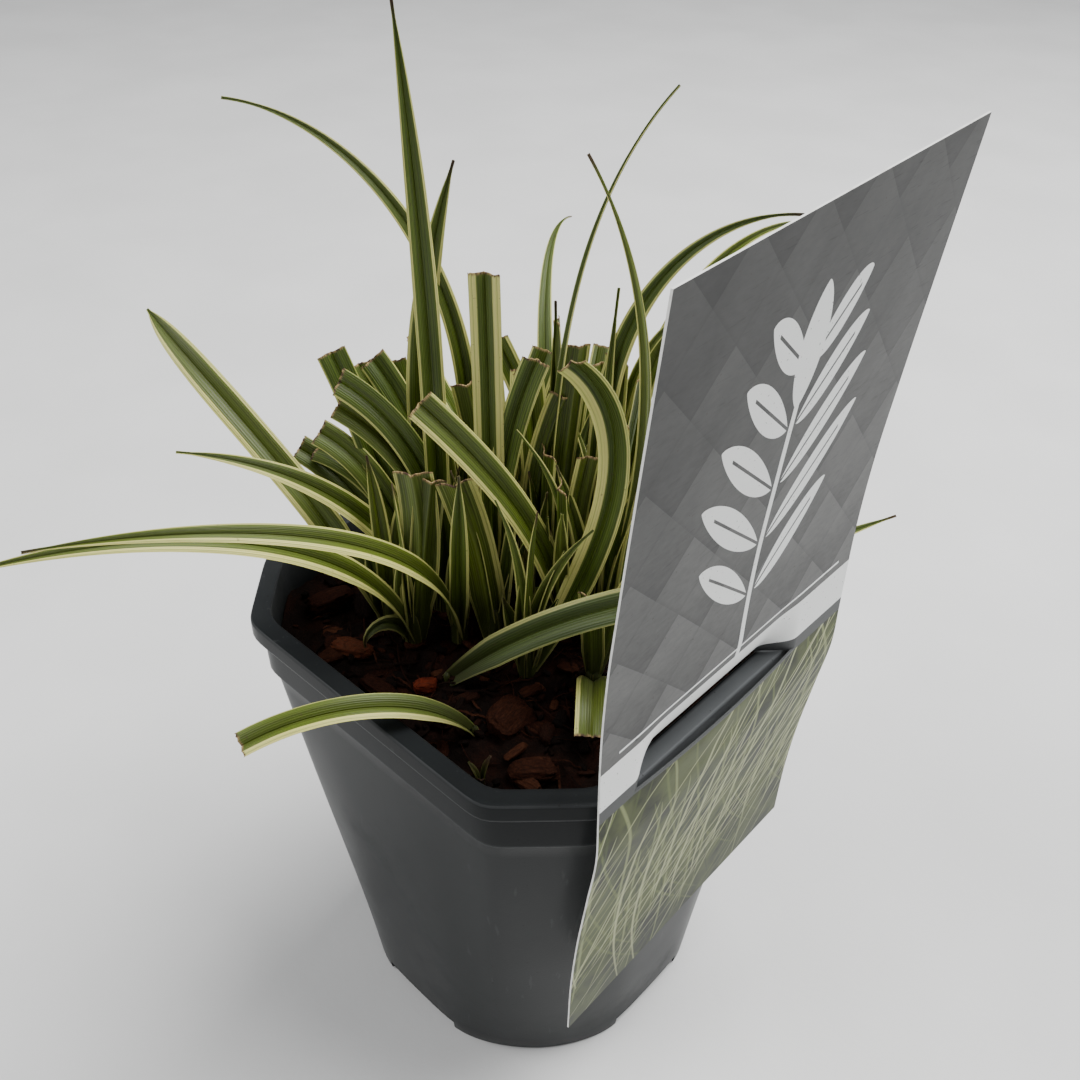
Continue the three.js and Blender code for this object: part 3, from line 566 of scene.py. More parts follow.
def label_front_finish():
    """The printed face: a grey quilted field with a sprig, a white band and a foot of blades."""
    label = Finish("printed_face")
    side = label.measure("side")
    height = label.measure("height")

    field = quilted_field(label, side, height)
    field = label.mix(sprig_mask(side, height) * 0.96, field, LABEL_WHITE)
    color = label.mix(height < BAND_HIGH, field, LABEL_WHITE)
    rule = (abs(height - RULE_HEIGHT) < RULE_HALF_BREADTH) * (abs(side) < RULE_HALF_LENGTH)
    color = label.mix(rule, color, LABEL_WHITE)
    color = label.mix(height < BAND_LOW, color, STRIP_GREY)
    color = label.mix(height < STRIP_LOW, color, grassy_stripes(label, side, height))
    specks = label.noise(label.vector(side, height, 4), 1.3, detail=1).rising(0.73, 0.76)
    color = label.mix(specks * 0.6, color, PRINT_DIRT)
    scratches = label.noise(label.vector(side * 0.4, height * 6, 9), 0.5, detail=3)
    scratches = scratches.rising(0.6, 0.72)
    waves = label.noise(label.vector(side, height, 1), 0.05, detail=2)
    return label.dress(
        Base_Color=color,
        Roughness=0.38 + scratches * 0.16,
        Normal=label.bump(waves, 0.0006, 0.5),
        Specular_IOR_Level=0.07,
    )


def label_back_finish():
    """The plain white back, a little soiled."""
    back = Finish("plain_back")
    soiled = back.noise(back.place(), 70, detail=4).rising(0.45, 0.75)
    color = back.mix(soiled * 0.25, LABEL_WHITE, (0.48, 0.46, 0.42))
    return back.dress(Base_Color=color, Roughness=0.4 + soiled * 0.15)


def label_edge_finish():
    """The white core that shows along the cut edges, soiled here and there."""
    edge = Finish("white_core")
    soiled = edge.noise(edge.place(), 260, detail=3).rising(0.5, 0.7)
    color = edge.mix(soiled * 0.4, (0.76, 0.76, 0.73), (0.36, 0.34, 0.30))
    return edge.dress(Base_Color=color, Roughness=0.6)


def floor_finish():
    """A pale painted board, very slightly mottled."""
    board = Finish("pale_board")
    mottle = board.noise(board.place(), 9, detail=5)
    color = board.mix(mottle.rising(0.3, 0.7), (0.70, 0.70, 0.69), (0.75, 0.75, 0.74))
    grain = board.noise(board.place(), 300, detail=3)
    return board.dress(Base_Color=color, Roughness=0.7, Normal=board.bump(grain, 0.0003, 0.3))


# ---------------------------------------------------------------- meshes

def mesh_piece(name, points, faces, measures=None):
    """A mesh object from points in millimetres. Measures are numbers held at its points."""
    mesh = bpy.data.meshes.new(name)
    mesh.from_pydata((np.asarray(points, float) * MM).tolist(), [], [tuple(face) for face in faces])
    hold(mesh, measures or {})
    mesh.validate()
    return placed_object(name, mesh)


def hold(mesh, measures):
    """Writes numbers on a mesh's points, for its finish to read."""
    for name, values in measures.items():
        held = mesh.attributes.new(name, "FLOAT", "POINT")
        held.data.foreach_set("value", np.asarray(values, np.float32).ravel())


def placed_object(name, data):
    placed = bpy.data.objects.new(name, data)
    bpy.context.scene.collection.objects.link(placed)
    return placed


def points_of(piece):
    """Places of a piece's points, in millimetres."""
    return np.array([vertex.co for vertex in piece.data.vertices]) / MM


def dress_piece(piece, sharpest, *finishes):
    """Gives a piece its finishes, and shades it smooth over edges that turn less than an angle."""
    work = bmesh.new()
    work.from_mesh(piece.data)
    for face in work.faces:
        face.smooth = True
    for edge in work.edges:
        edge.smooth = len(edge.link_faces) == 2 and edge.calc_face_angle(0) < math.radians(sharpest)
    work.to_mesh(piece.data)
    work.free()
    for finish in finishes:
        piece.data.materials.append(finish)


class Shells:
    """Closed grids gathered into one mesh, with the numbers that their points carry."""

    def __init__(self):
        self.points = []
        self.faces = []
        self.measures = {}
        self.count = 0

    def add(self, points, faces, **measures):
        points = np.asarray(points, float).reshape(-1, 3)
        self.points.append(points)
        self.faces.extend(tuple(i + self.count for i in face) for face in faces)
        for name, values in measures.items():
            spread = np.broadcast_to(np.asarray(values, float), (len(points),))
            self.measures.setdefault(name, []).append(spread)
        self.count += len(points)

    def piece(self, name):
        measures = {key: np.concatenate(parts) for key, parts in self.measures.items()}
        return mesh_piece(name, np.concatenate(self.points), self.faces, measures)


def turned_over(face):
    """The same face, seen from its other side."""
    return (face[0], *face[:0:-1])


def sheet_faces(rows, columns, cut_row=None, in_cut=None):
    """Faces of a closed sheet: an upper grid of points, then a lower one of the same size.

    It may be cut after one of its rows, between the columns that are in the cut."""
    top = lambda i, j: i * columns + j
    bottom = lambda i, j: (rows + i) * columns + j
    first_edge = lambda i, j: (top(i, j), top(i, j + 1), bottom(i, j + 1), bottom(i, j))
    last_edge = lambda i, j: turned_over(first_edge(i, j))
    last = columns - 1
    faces = []
    for i in range(rows - 1):
        if i == cut_row:
            continue
        for j in range(last):
            faces.append((top(i, j), top(i + 1, j), top(i + 1, j + 1), top(i, j + 1)))
            faces.append((bottom(i, j), bottom(i, j + 1), bottom(i + 1, j + 1), bottom(i + 1, j)))
        faces.append((top(i, 0), bottom(i, 0), bottom(i + 1, 0), top(i + 1, 0)))
        faces.append((top(i, last), top(i + 1, last), bottom(i + 1, last), bottom(i, last)))
    for j in range(last):
        faces.append(first_edge(0, j))
        faces.append(last_edge(rows - 1, j))
        if cut_row is not None and in_cut[j:j + 2].any():
            faces.append(last_edge(cut_row, j))
            faces.append(first_edge(cut_row + 1, j))
    return faces


def ring_faces(rings, turns):
    """Faces of a closed body: rings of points, then a pole under the first and over the last."""
    count = rings * turns
    faces = []
    for j in range(turns):
        after = (j + 1) % turns
        faces.append((count, after, j))
        faces.append((count + 1, count - turns + j, count - turns + after))
        for low in range(0, count - turns, turns):
            faces.append((low + j, low + after, low + turns + after, low + turns + j))
    return faces


MULTIPLIER = 16807
MODULUS = 2147483647


def draw_from(seed):
    """The same even draws between 0 and 1 as the solids were placed by."""
    state = seed
    while True:
        state = (state * MULTIPLIER) % MODULUS
        yield state / MODULUS


# ---------------------------------------------------------------- pot

NO_LIMIT = 99
CORNER_EXTRA = RIM_CORNER - RIM_SIDE
POT_TURNS = 240


def outline_reach(angle, side, corner, round_limit):
    """Distance from the axis to an outline with four flats, four cut corners and a round limit."""
    sharpness = 60
    across = np.abs(np.cos(angle))
    along = np.abs(np.sin(angle))
    diagonal = (across + along) / math.sqrt(2)
    total = (across / side) ** sharpness + (along / side) ** sharpness
    total = total + (diagonal / corner) ** sharpness + (1 / round_limit) ** sharpness
    return total ** (-1 / sharpness)


def square_reach(angle, side):
    return outline_reach(angle, side, side + CORNER_EXTRA, NO_LIMIT)


def wall_reach(angle, height, inset):
    base = outline_reach(angle, BASE_SIDE, NO_LIMIT, BASE_ROUND)
    top = square_reach(angle, RIM_SIDE - 4)
    share = height / SHOULDER_HEIGHT
    return base + (top - base) * share + 0.5 * math.sin(math.pi * share) - inset


def square(side, height):
    return lambda angle: (square_reach(angle, side), np.full_like(angle, height))


def wall(height, inset):
    return lambda angle: (wall_reach(angle, height, inset), np.full_like(angle, height))


def level(radius, height):
    return lambda angle: (np.full_like(angle, radius), np.full_like(angle, height))


def turned(name, rings, turns):
    """A closed body of rings round the pot's axis, from a pole at the foot to one at the end."""
    angle = np.linspace(0, 2 * math.pi, turns, endpoint=False)
    points = []
    for ring in rings[1:-1]:
        reach, height = ring(angle)
        points.append(np.stack([reach * np.cos(angle), reach * np.sin(angle), height], 1))
    poles = [(0, 0, float(ring(np.zeros(1))[1][0])) for ring in (rings[0], rings[-1])]
    return mesh_piece(name, np.vstack([*points, poles]), ring_faces(len(points), turns))


def bend(side, height, radius, start, end, steps=5):
    """Rings of a rounded edge, from one angle of its quarter circle to another, in degrees."""
    rings = []
    for step in range(steps + 1):
        way = math.radians(start + (end - start) * step / steps)
        rings.append(square(side + radius * math.cos(way), height + radius * math.sin(way)))
    return rings


def pot_rings():
    pad_radius = 9
    foot_width = 2
    floor_bottom = FLOOR_TOP - WALL
    lip = 0.7
    outer_wall = [wall(height, 0) for height in np.linspace(0.8, SHOULDER_HEIGHT - 1, 24)]
    inner_wall = [wall(height, WALL) for height in np.linspace(SHOULDER_HEIGHT - 8, FLOOR_TOP, 20)]
    return [
        level(0, 0),
        level(pad_radius, 0),
        level(pad_radius, floor_bottom),
        wall(floor_bottom, foot_width),
        wall(0, foot_width),
        wall(0, 0.6),
        wall(0.25, 0.15),
        *outer_wall,
        # The shoulder juts out over the wall with a soft upper edge.
        square(RIM_SIDE - 3.7, SHOULDER_HEIGHT - 0.2),
        *bend(RIM_SIDE - 3.2, SHOULDER_HEIGHT + 0.9, 0.6, -70, 0, 4),
        square(RIM_SIDE - 2.6, SHOULDER_HEIGHT + 1.5),
        square(RIM_SIDE - 2.45, POT_HEIGHT - 6.6),
        # A groove, then the bead and the rolled lip over it.
        square(RIM_SIDE - 2.75, POT_HEIGHT - 6.2),
        square(RIM_SIDE - 2.75, POT_HEIGHT - 5.6),
        *bend(RIM_SIDE - 0.45, POT_HEIGHT - 5.0, 0.5, -90, 0, 4),
        square(RIM_SIDE + 0.04, POT_HEIGHT - 4.6),
        square(RIM_SIDE + 0.02, POT_HEIGHT - 1.0),
        *bend(RIM_SIDE - lip, POT_HEIGHT - lip, lip, 0, 90),
        square(RIM_SIDE - 1.6, POT_HEIGHT - 0.06),
        square(INNER_TOP + 1.4, POT_HEIGHT - 0.06),
        *bend(INNER_TOP + 0.5, POT_HEIGHT - 0.5, 0.5, 90, 180),
        square(INNER_TOP - 0.05, SHOULDER_HEIGHT + 4),
        square(INNER_TOP - 0.1, SHOULDER_HEIGHT),
        *inner_wall,
        level(0, FLOOR_TOP),
    ]


def cut_away(piece, cutters):
    """Takes cutting solids out of a piece for good."""
    for cutter in cutters:
        carve = piece.modifiers.new("cut", "BOOLEAN")
        carve.operation = "DIFFERENCE"
        carve.solver = "EXACT"
        carve.object = cutter
        bpy.context.view_layer.objects.active = piece
        bpy.ops.object.modifier_apply(modifier=carve.name)
        bpy.data.objects.remove(cutter)


def set_out(middle, turn):
    """Moves a solid out from the pot's axis, and turns it round the axis."""
    return Matrix.Rotation(turn, 4, "Z") @ Matrix.Translation(Vector(middle) * MM)


def cutter_of(work, shape):
    bmesh.ops.transform(work, matrix=shape, verts=work.verts)
    mesh = bpy.data.meshes.new("cutter")
    work.to_mesh(mesh)
    work.free()
    return placed_object("cutter", mesh)


def arch_cutter(quarter):
    """A box that opens a drain arch in the foot."""
    work = bmesh.new()
    bmesh.ops.create_cube(work, size=1)
    size = Vector((ARCH_DEPTH, 2 * ARCH_HALF_WIDTH, 2 * ARCH_HEIGHT)) * MM
    shape = set_out((BASE_SIDE, 0, 0), quarter * math.pi / 2)
    return cutter_of(work, shape @ Matrix.Diagonal((*size, 1)))


def hole_cutter(hole):
    """A drill that opens a drain hole in the floor."""
    work = bmesh.new()
    size = {"radius1": HOLE_RADIUS * MM, "radius2": HOLE_RADIUS * MM, "depth": HOLE_DEPTH * MM}
    bmesh.ops.create_cone(work, cap_ends=True, segments=32, **size)
    turn = (hole + 0.5) / HOLES * 2 * math.pi
    return cutter_of(work, set_out((HOLE_CIRCLE, 0, FLOOR_TOP - 1), turn))


def pot_wear_and_painted_light(pot):
    """How chalky and worn the pot is at each of its points, and where painted sheen, highlights and
    light lie on it, from 0 to 1.
    """
    x, y, height = points_of(pot).T
    # The rounded edges of the lip, the bead and the shoulder are painted lighter: partly wear,
    # partly a painted highlight where they catch the light.
    rounded_edges = np.zeros_like(height)
    for low, high in ((POT_HEIGHT - 0.6, POT_HEIGHT - 0.1), (POT_HEIGHT - 5.3, POT_HEIGHT - 4.95),
                      (SHOULDER_HEIGHT + 0.6, SHOULDER_HEIGHT + 1)):
        rounded_edges[(height > low) & (height < high)] = 1
    on_lip = (x > INNER_TOP + 0.5) & (height > SHOULDER_HEIGHT)
    off_middle = np.abs(y - SLIT_MIDDLE)
    return {
        # Chalky dust and a painted sheen on the walls under the rim.
        "chalky_sheen": 1 - smooth_step(height, SHOULDER_HEIGHT - 4, SHOULDER_HEIGHT + 4),
        "rounded_edges": rounded_edges,
        # A painted reflection lightens the lip where the label's slit hangs on it, and painted
        # light the far left of its top.
        "painted_light": on_lip * (1 - smooth_step(off_middle, SLIT_HALF_WIDTH - 4, SLIT_HALF_WIDTH))
        + 0.25 * smooth_step(-x, 35, 60) * (height > POT_HEIGHT - 1.5),
    }


def make_pot():
    pot = turned("nursery_pot", pot_rings(), POT_TURNS)
    hold(pot.data, pot_wear_and_painted_light(pot))
    cut_away(pot, [*map(arch_cutter, range(4)), *map(hole_cutter, range(HOLES))])
    dress_piece(pot, 28, pot_finish())
    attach(pot, "root")
    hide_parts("pot")


# ---------------------------------------------------------------- leaves

ROOT_OFFSET_STEP = 0.35
OPEN_BY = 0.3  # the share of its length by which a leaf has opened from its sheath
FOLD = 22  # how far each half of an open leaf is folded up, in degrees
ROOT_FOLD = 13  # how much more it is folded at its root
TIP_WIDTH = 0.8


def leaf_of(**traits):
    """A leaf with its traits, and plain ones where none is given."""
    return SimpleNamespace(**{"root": None, "sway": 0, "margins": None, "aged": 0, **traits})


def keel_of(leaf, steps):
    """Points along a leaf's keel, with its rise and heading at each in radians."""
    x, y = leaf.root or SHOOTS[leaf.shoot][:2]
    start = math.radians(leaf.heading)
    root_offset = 0.5 + ROOT_OFFSET_STEP * (leaf.order % 5)
    root = (x + root_offset * math.cos(start), y + root_offset * math.sin(start), SOIL_LEVEL)

    def growth(t):
        bent = t ** leaf.bend
        rise = leaf.rise - leaf.droop * bent
        return np.radians(rise), np.radians(leaf.heading + leaf.sway * bent)

    ends = np.linspace(0, 1, steps + 1)
    along = direction(*growth((ends[1:] + ends[:-1]) / 2)) * leaf.length / steps
    place = np.vstack([np.zeros(3), np.cumsum(along, 0)]) + root
    return place, *growth(ends)


def direction(rise, heading):
    run = np.cos(rise)
    return np.stack([run * np.cos(heading), run * np.sin(heading), np.sin(rise)], 1)


def opened(t):
    return np.minimum(1, t / OPEN_BY)


def width_at(leaf, t):
    width = leaf.width * (0.5 + 0.5 * opened(t) ** 0.8)
    if leaf.end == CROPPED:
        return width
    toward_tip = np.maximum(0, (t - OPEN_BY) / (1 - OPEN_BY))
    return np.maximum(TIP_WIDTH, width * (1 - toward_tip ** leaf.end))


def face_axes(rise, heading, turn):
    """Direction across a leaf and up from its face, along its keel."""
    along = direction(rise, heading)
    flat = np.stack([-np.sin(heading), np.cos(heading), np.zeros_like(heading)], 1)
    upright = np.cross(along, flat)
    turn = np.radians(turn)
    across = flat * np.cos(turn) + upright * np.sin(turn)
    up = upright * np.cos(turn) - flat * np.sin(turn)
    return along, across, up


def face_rows(leaf, steps, stations):
    """Rows of points over a leaf's face, folded up from the keel to both edges."""
    place, rise, heading = keel_of(leaf, steps)
    t = np.linspace(0, 1, steps + 1)
    _, across, up = face_axes(rise, heading, leaf.turn)
    half = width_at(leaf, t) / 2
    fold = np.radians(FOLD + ROOT_FOLD * (1 - opened(t)))
    stations = np.asarray(stations, float)
    sideways = (half * np.cos(fold))[:, None] * stations
    raised = (half * np.sin(fold))[:, None] * np.abs(stations)
    return place[:, None] + across[:, None] * sideways[..., None] + up[:, None] * raised[..., None]


# The same rules as the solids were settled by: how far apart leaves of two shoots stay, how
# often a leaf is tried, and how far it is swung aside and up for each try.
CLEARANCE = 2.4
TRIES = 200
SWING_ASIDE = 2.6
SWING_UP = 1.6
SWING_STEP = 2.4


def cloud_of(leaf):
    steps = max(4, math.floor(leaf.length / 2.5))
    return face_rows(leaf, steps, (-1, -0.5, 0, 0.5, 1)).reshape(-1, 3)


# How far the middle of a leaf's face stays off what is round it, and where that is.
OFF = 2.7
LABEL_SIDE = INNER_TOP - 1.7
LABEL_LOW = SOIL_LEVEL + 4
ROOT_SPREAD = 9
SHOOT_TOP = SOIL_LEVEL + 10
SHOOT_SPREAD = PLUG_RADIUS + 1.6


def stands_free(points, shoot):
    """Whether a leaf's points stay off the soil, the rim, the label and the other shoots' bases."""
    x, y, z = points.T
    root_x, root_y = SHOOTS[shoot][:2]
    side = np.maximum(np.abs(x), np.abs(y))
    diagonal = (np.abs(x) + np.abs(y)) / math.sqrt(2)
    over_rim = (side > INNER_TOP - OFF) | (diagonal > RIM_CORNER - 2.7 * OFF)
    in_label = (x > LABEL_SIDE) & (np.abs(y) < LABEL_HALF_WIDTH + 2 * OFF) & (z > LABEL_LOW)
    in_rim = (z < POT_HEIGHT + 2) & (side < RIM_SIDE + OFF) & over_rim
    in_soil = (z < SOIL_LEVEL + 3) & (np.hypot(x - root_x, y - root_y) > ROOT_SPREAD)
    blocked = in_label | in_rim | in_soil
    for name, (other_x, other_y, *_) in SHOOTS.items():
        if name != shoot:
            blocked |= (z < SHOOT_TOP) & (np.hypot(x - other_x, y - other_y) < SHOOT_SPREAD)
    return not blocked.any()


def clear_of(points, other):
    low = points.min(0) - CLEARANCE
    high = points.max(0) + CLEARANCE
    near = other[((other >= low) & (other <= high)).all(1)]
    if not len(near):
        return True
    apart = ((points[:, None] - near[None]) ** 2).sum(2)
    return apart.min() >= CLEARANCE ** 2


def settle(leaves):
    """Places leaves one after another, each swung aside until it clears the other shoots."""
    placed = []
    clouds = []
    for leaf in leaves:
        order = sum(other.shoot == leaf.shoot for other in placed)
        for k in range(TRIES):
            swing = math.sqrt(k)
            trial = SimpleNamespace(**vars(leaf))
            trial.order = order
            trial.heading = leaf.heading + SWING_ASIDE * swing * math.cos(SWING_STEP * k)
            trial.rise = leaf.rise + SWING_UP * swing * math.sin(SWING_STEP * k)
            points = cloud_of(trial)
            if not stands_free(points, leaf.shoot):
                continue
            if all(shoot == leaf.shoot or clear_of(points, other) for shoot, other in clouds):
                placed.append(trial)
                clouds.append((leaf.shoot, points))
                break
    return placed


def named_leaves():
    traits = ("shoot", "heading", "rise", "length", "droop", "sway", "bend", "width", "turn", "end")
    return [
        leaf_of(**dict(zip(traits, row)), margins=MARGINS.get(number), aged=AGED.get(number, 0))
        for number, row in enumerate(LEAVES)
    ]


def filler_leaves():
    """Plain leaves that fan out round each shoot, cropped ones, and whole ones at the front."""
    draws = draw_from(LEAF_SEED)
    leaves = []
    for shoot, (x, y, _, count, length) in SHOOTS.items():
        outward = math.degrees(math.atan2(y + 4, x + 4))
        uncut = y < UNCUT_FRONT
        for i in range(count):
            leaf = leaf_of(
                shoot=shoot,
                heading=outward + (i - (count - 1) / 2) * 300 / count + 50 * (next(draws) - 0.5),
                rise=90 - 10 * next(draws),
                length=length * (0.85 + 0.3 * next(draws)),
                droop=4 + 20 * next(draws),
                bend=1.7,
                width=(5.5 if uncut else 6.5) + 2.5 * next(draws),
                turn=140 * next(draws) - 70,
                end=POINTED if uncut else CROPPED,
            )
            if not uncut or to_back(leaf):
                leaves.append(leaf)
    return leaves


def to_back(leaf):
    return math.cos(math.radians(leaf.heading - BACKWARD)) > 0


# Where the lines of points run along a leaf, from one edge over the keel to the other.
HALF_STATIONS = np.array([-1, -0.94, -0.84, -0.7, -0.54, -0.36, -0.18, -0.06])
STATIONS = np.concatenate([HALF_STATIONS, [0.0], -HALF_STATIONS[::-1]])
STEP_LENGTH = 1.8
LEAF_FOOT = 4.0
FULL_TURN = 6.28  # in radians, near enough for a ripple


def arched_rows(leaf, steps, draws):
    """A leaf's face with each half arched between keel and edge, and a little unevenness."""
    rows = face_rows(leaf, steps, STATIONS)
    _, rise, heading = keel_of(leaf, steps)
    t = np.linspace(0, 1, steps + 1)
    along, _, up = face_axes(rise, heading, leaf.turn)
    half = width_at(leaf, t) / 2
    side = np.abs(STATIONS)
    arch = 0.14 * np.sin(math.pi * side) - 0.07 * side ** 3
    wave_length = 26 + 14 * draws.random()
    phase = 6 * draws.random()
    distance = t * leaf.length
    waves = distance[:, None] / wave_length * FULL_TURN + phase + 1.7 * STATIONS[None]
    ripple = 0.035 * np.sin(waves) * side
    lift = half[:, None] * (arch[None] * opened(t)[:, None] + ripple)
    rows = rows + up[:, None] * lift[..., None]
    if leaf.end == CROPPED:
        # The cut is nearly square, ragged by a few tenths.
        slant = 0.5 * (draws.random() - 0.5)
        ragged = [0.35 * (draws.random() - 0.5) for _ in STATIONS]
        shift = slant * STATIONS * half[-1] * 0.35 + ragged
        rows[-1] += along[-1] * shift[:, None]
    return rows


def leaf_shell(shells, leaf, draws):
    steps = max(10, round(leaf.length / STEP_LENGTH))
    rows = arched_rows(leaf, steps, draws)
    down_rows = np.gradient(rows, axis=0)
    down_columns = np.gradient(rows, axis=1)
    normal = np.cross(down_rows, down_columns)
    normal /= np.linalg.norm(normal, axis=2, keepdims=True) + 1e-9
    t = np.linspace(0, 1, steps + 1)
    # Thick at the keel, thinner to the edges and the point.
    thick = BLADE_THICKNESS * (1.25 - 0.75 * np.abs(STATIONS) ** 1.5)[None]
    thick = thick * (1 - 0.45 * t ** 3)[:, None]
    lower = rows - normal * thick[..., None]
    # The foot of the leaf goes on into the soil.
    _, rise, heading = keel_of(leaf, steps)
    foot = direction(rise, heading)[0] * LEAF_FOOT
    rows = np.concatenate([rows[:1] - foot, rows])
    lower = np.concatenate([lower[:1] - foot, lower])
    t = np.append(0, t)
    count = rows.shape[0] * rows.shape[1]
    across = np.tile(np.broadcast_to(STATIONS, rows.shape[:2]).ravel(), 2)
    along = np.tile(np.repeat(t, len(STATIONS)), 2)
    left, right = leaf.margins or (0.13 + 0.2 * draws.random(), 0.13 + 0.2 * draws.random())
    margin = np.where(across < 0, left, right)
    shells.add(
        np.concatenate([rows.reshape(count, 3), lower.reshape(count, 3)]),
        sheet_faces(*rows.shape[:2]),
        across=across,
        along=along,
        to_end=(1 - along) * leaf.length,
        from_root=along * leaf.length,
        cropped=float(leaf.end == CROPPED),
        tone=draws.random(),
        margin=margin,
        aged=leaf.aged,
    )


def sheath_shell(shells, name, draws):
    """The folded bases of a shoot's leaves, wrapped round each other where they leave the soil."""
    x, y, height = SHOOTS[name][:3]
    turns = 36
    folds = 3
    angle = np.linspace(0, 2 * math.pi, turns, endpoint=False)
    start = draws.random() * FULL_TURN
    slim = 1 if height > 3 else 0.5
    tooth = ((angle + start) / (2 * math.pi) * folds) % 1
    across = tooth * 2 - 1
    rings = [
        (-7, 0.5), (-3, 0.66), (0, 0.68), (height * 0.3, 0.66), (height * 0.6, 0.6),
        (height * 0.85, 0.5), (height, 0.38), (height * 1.1, 0.2),
    ]
    points = []
    for up, share in rings:
        lapped = 1 + 0.16 * (tooth - 0.5) + 0.05 * np.cos(across * math.pi)
        reach = PLUG_RADIUS * share * lapped * slim
        ring = (x + reach * np.cos(angle), y + reach * np.sin(angle))
        points.append(np.stack([*ring, np.full(turns, SOIL_LEVEL + up)], 1))
    poles = [(x, y, SOIL_LEVEL + rings[0][0]), (x, y, SOIL_LEVEL + rings[-1][0] + 0.4)]
    ups = np.array([up for up, _ in rings])
    along = np.append(np.repeat(0.2 * np.clip(ups / 12, 0, 1), turns), [0, 0.2])
    shells.add(
        np.vstack([*points, poles]),
        ring_faces(len(rings), turns),
        across=np.append(np.tile(across, len(rings)), [0, 0]),
        along=along,
        to_end=60.0,
        from_root=0.0,
        cropped=0.0,
        tone=draws.random(),
        margin=0.2,
        aged=0.3,
    )


INNER_LEAVES = 5
INNER_LEAVES_FROM = 6  # shoots with a lower sheath than this have none
SPROUT = (31.8, -52.6)
SPROUT_SHOOT = "edge"
SPROUT_LEAVES = ((60, 84, 8.5), (200, 72, 6), (-40, 66, 5))  # heading, rise and length of each


def inner_leaves(name, height, draws):
    """Slender young leaves that stand close in the middle of a shoot and cross each other."""
    leaves = []
    for number in range(INNER_LEAVES):
        leaf = leaf_of(
            shoot=name,
            order=number,
            heading=360 * draws.random(),
            rise=91 - 16 * draws.random(),
            length=height * (2.6 + 2.2 * draws.random()),
            droop=-4 + 20 * draws.random(),
            sway=24 * (draws.random() - 0.5),
            bend=1.4,
            width=4.6 + 2.8 * draws.random(),
            turn=180 * draws.random() - 90,
            end=POINTED,
        )
        in_sight = SHOOTS[name][1] < UNCUT_FRONT and not to_back(leaf)
        if stands_free(cloud_of(leaf), name) and not in_sight:
            leaves.append(leaf)
    return leaves


def sprout_leaves(draws):
    """A young sprout that has only just come up by the pot's near corner."""
    return [leaf_of(
        root=SPROUT, shoot=SPROUT_SHOOT, order=0, heading=heading, rise=rise, length=length,
        droop=20, bend=1.4, width=2.2, turn=40 * draws.random() - 20, end=POINTED,
        margins=(0.1, 0.1),
    ) for heading, rise, length in SPROUT_LEAVES]


def make_shoots(leaves, finish):
    for name, (_, _, height, *_) in SHOOTS.items():
        draws = random.Random("leaves of " + name)
        shells = Shells()
        sheath_shell(shells, name, draws)
        for leaf in leaves:
            if leaf.shoot == name:
                leaf_shell(shells, leaf, draws)
        if height > INNER_LEAVES_FROM:
            for leaf in inner_leaves(name, height, draws):
                leaf_shell(shells, leaf, draws)
        if name == SPROUT_SHOOT:
            for leaf in sprout_leaves(draws):
                leaf_shell(shells, leaf, draws)
        shoot = shells.piece("leaves_" + name)
        dress_piece(shoot, 50, finish)
        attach(shoot, "root")
        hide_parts("shoot_" + name)


# ---------------------------------------------------------------- growing medium

SOIL_GAP = 0.4
SOIL_TURNS = 300
SOIL_FOOT = FLOOR_TOP + 0.3


def soil_height(x, y):
    """Height of the soil over its level: broad bumps, then lumps and crumbs."""
    angle = np.arctan2(y, x)
    reach = np.hypot(x, y)
    share = np.clip(reach / square_reach(angle, INNER_TOP), 0, 1)
    broad = 0.7 * np.sin(3 * angle + 0.11 * reach) + 0.5 * np.cos(5 * angle - 0.17 * reach)
    lumps = np.array([
        1.5 * noise.noise(Vector((a * 0.16, b * 0.16, 3)))
        + 1.0 * noise.noise(Vector((a * 0.45, b * 0.45, 8)))
        + 0.55 * noise.noise(Vector((a * 1.2, b * 1.2, 1)))
        for a, b in zip(np.ravel(x), np.ravel(y))
    ]).reshape(np.shape(x))
    return broad * np.minimum(1, 3 * share) + lumps


def along_grain(points):
    """Where points lie along and across the grain of the bark, for its finish."""
    return dict(zip(GRAIN_AXES, np.transpose(points)))


def make_soil(finish):
    upper = INNER_TOP - 0.1 - SOIL_GAP

    def surface(share):
        def ring(angle):
            reach = square_reach(angle, upper) * share
            x = reach * np.cos(angle)
            y = reach * np.sin(angle)
            return reach, SOIL_LEVEL + soil_height(x, y)
        return ring

    rings = [
        level(0, SOIL_FOOT),
        wall(SOIL_FOOT, WALL + 1.2),
        wall(44, WALL + 1.2),
        wall(88, WALL + 1.2),
        square(INNER_TOP - 1.3, SHOULDER_HEIGHT),
        square(upper, SOIL_LEVEL - 3),
        *[surface(share) for share in np.linspace(1, 0.02, 70)],
        level(0, SOIL_LEVEL),
    ]
    soil = turned("bark_mix", rings, SOIL_TURNS)
    place = points_of(soil)
    patches = [0.36 + 0.36 * noise.noise(Vector((x * 0.12, y * 0.12, 5))) for x, y, _ in place]
    hold(soil.data, {**along_grain(place), "tone": patches})
    dress_piece(soil, 60, finish)
    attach(soil, "root")
    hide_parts("growing_medium")


def scattered_chips(draws, low_points):
    chips = []
    while len(chips) < SMALL_CHIPS:
        angle = 2 * math.pi * next(draws)
        distance = 62 * math.sqrt(next(draws))
        length = 6 + 7 * next(draws)
        x, y = distance * math.cos(angle), distance * math.sin(angle)
        over = 0.4 + next(draws)
        width = length * (0.4 + 0.25 * next(draws))
        thickness = 2.5 + 2 * next(draws)
        turn = 180 * next(draws)
        if chip_fits(x, y, length, low_points):
            chips.append((x, y, over, length, width, thickness, turn))
    return chips


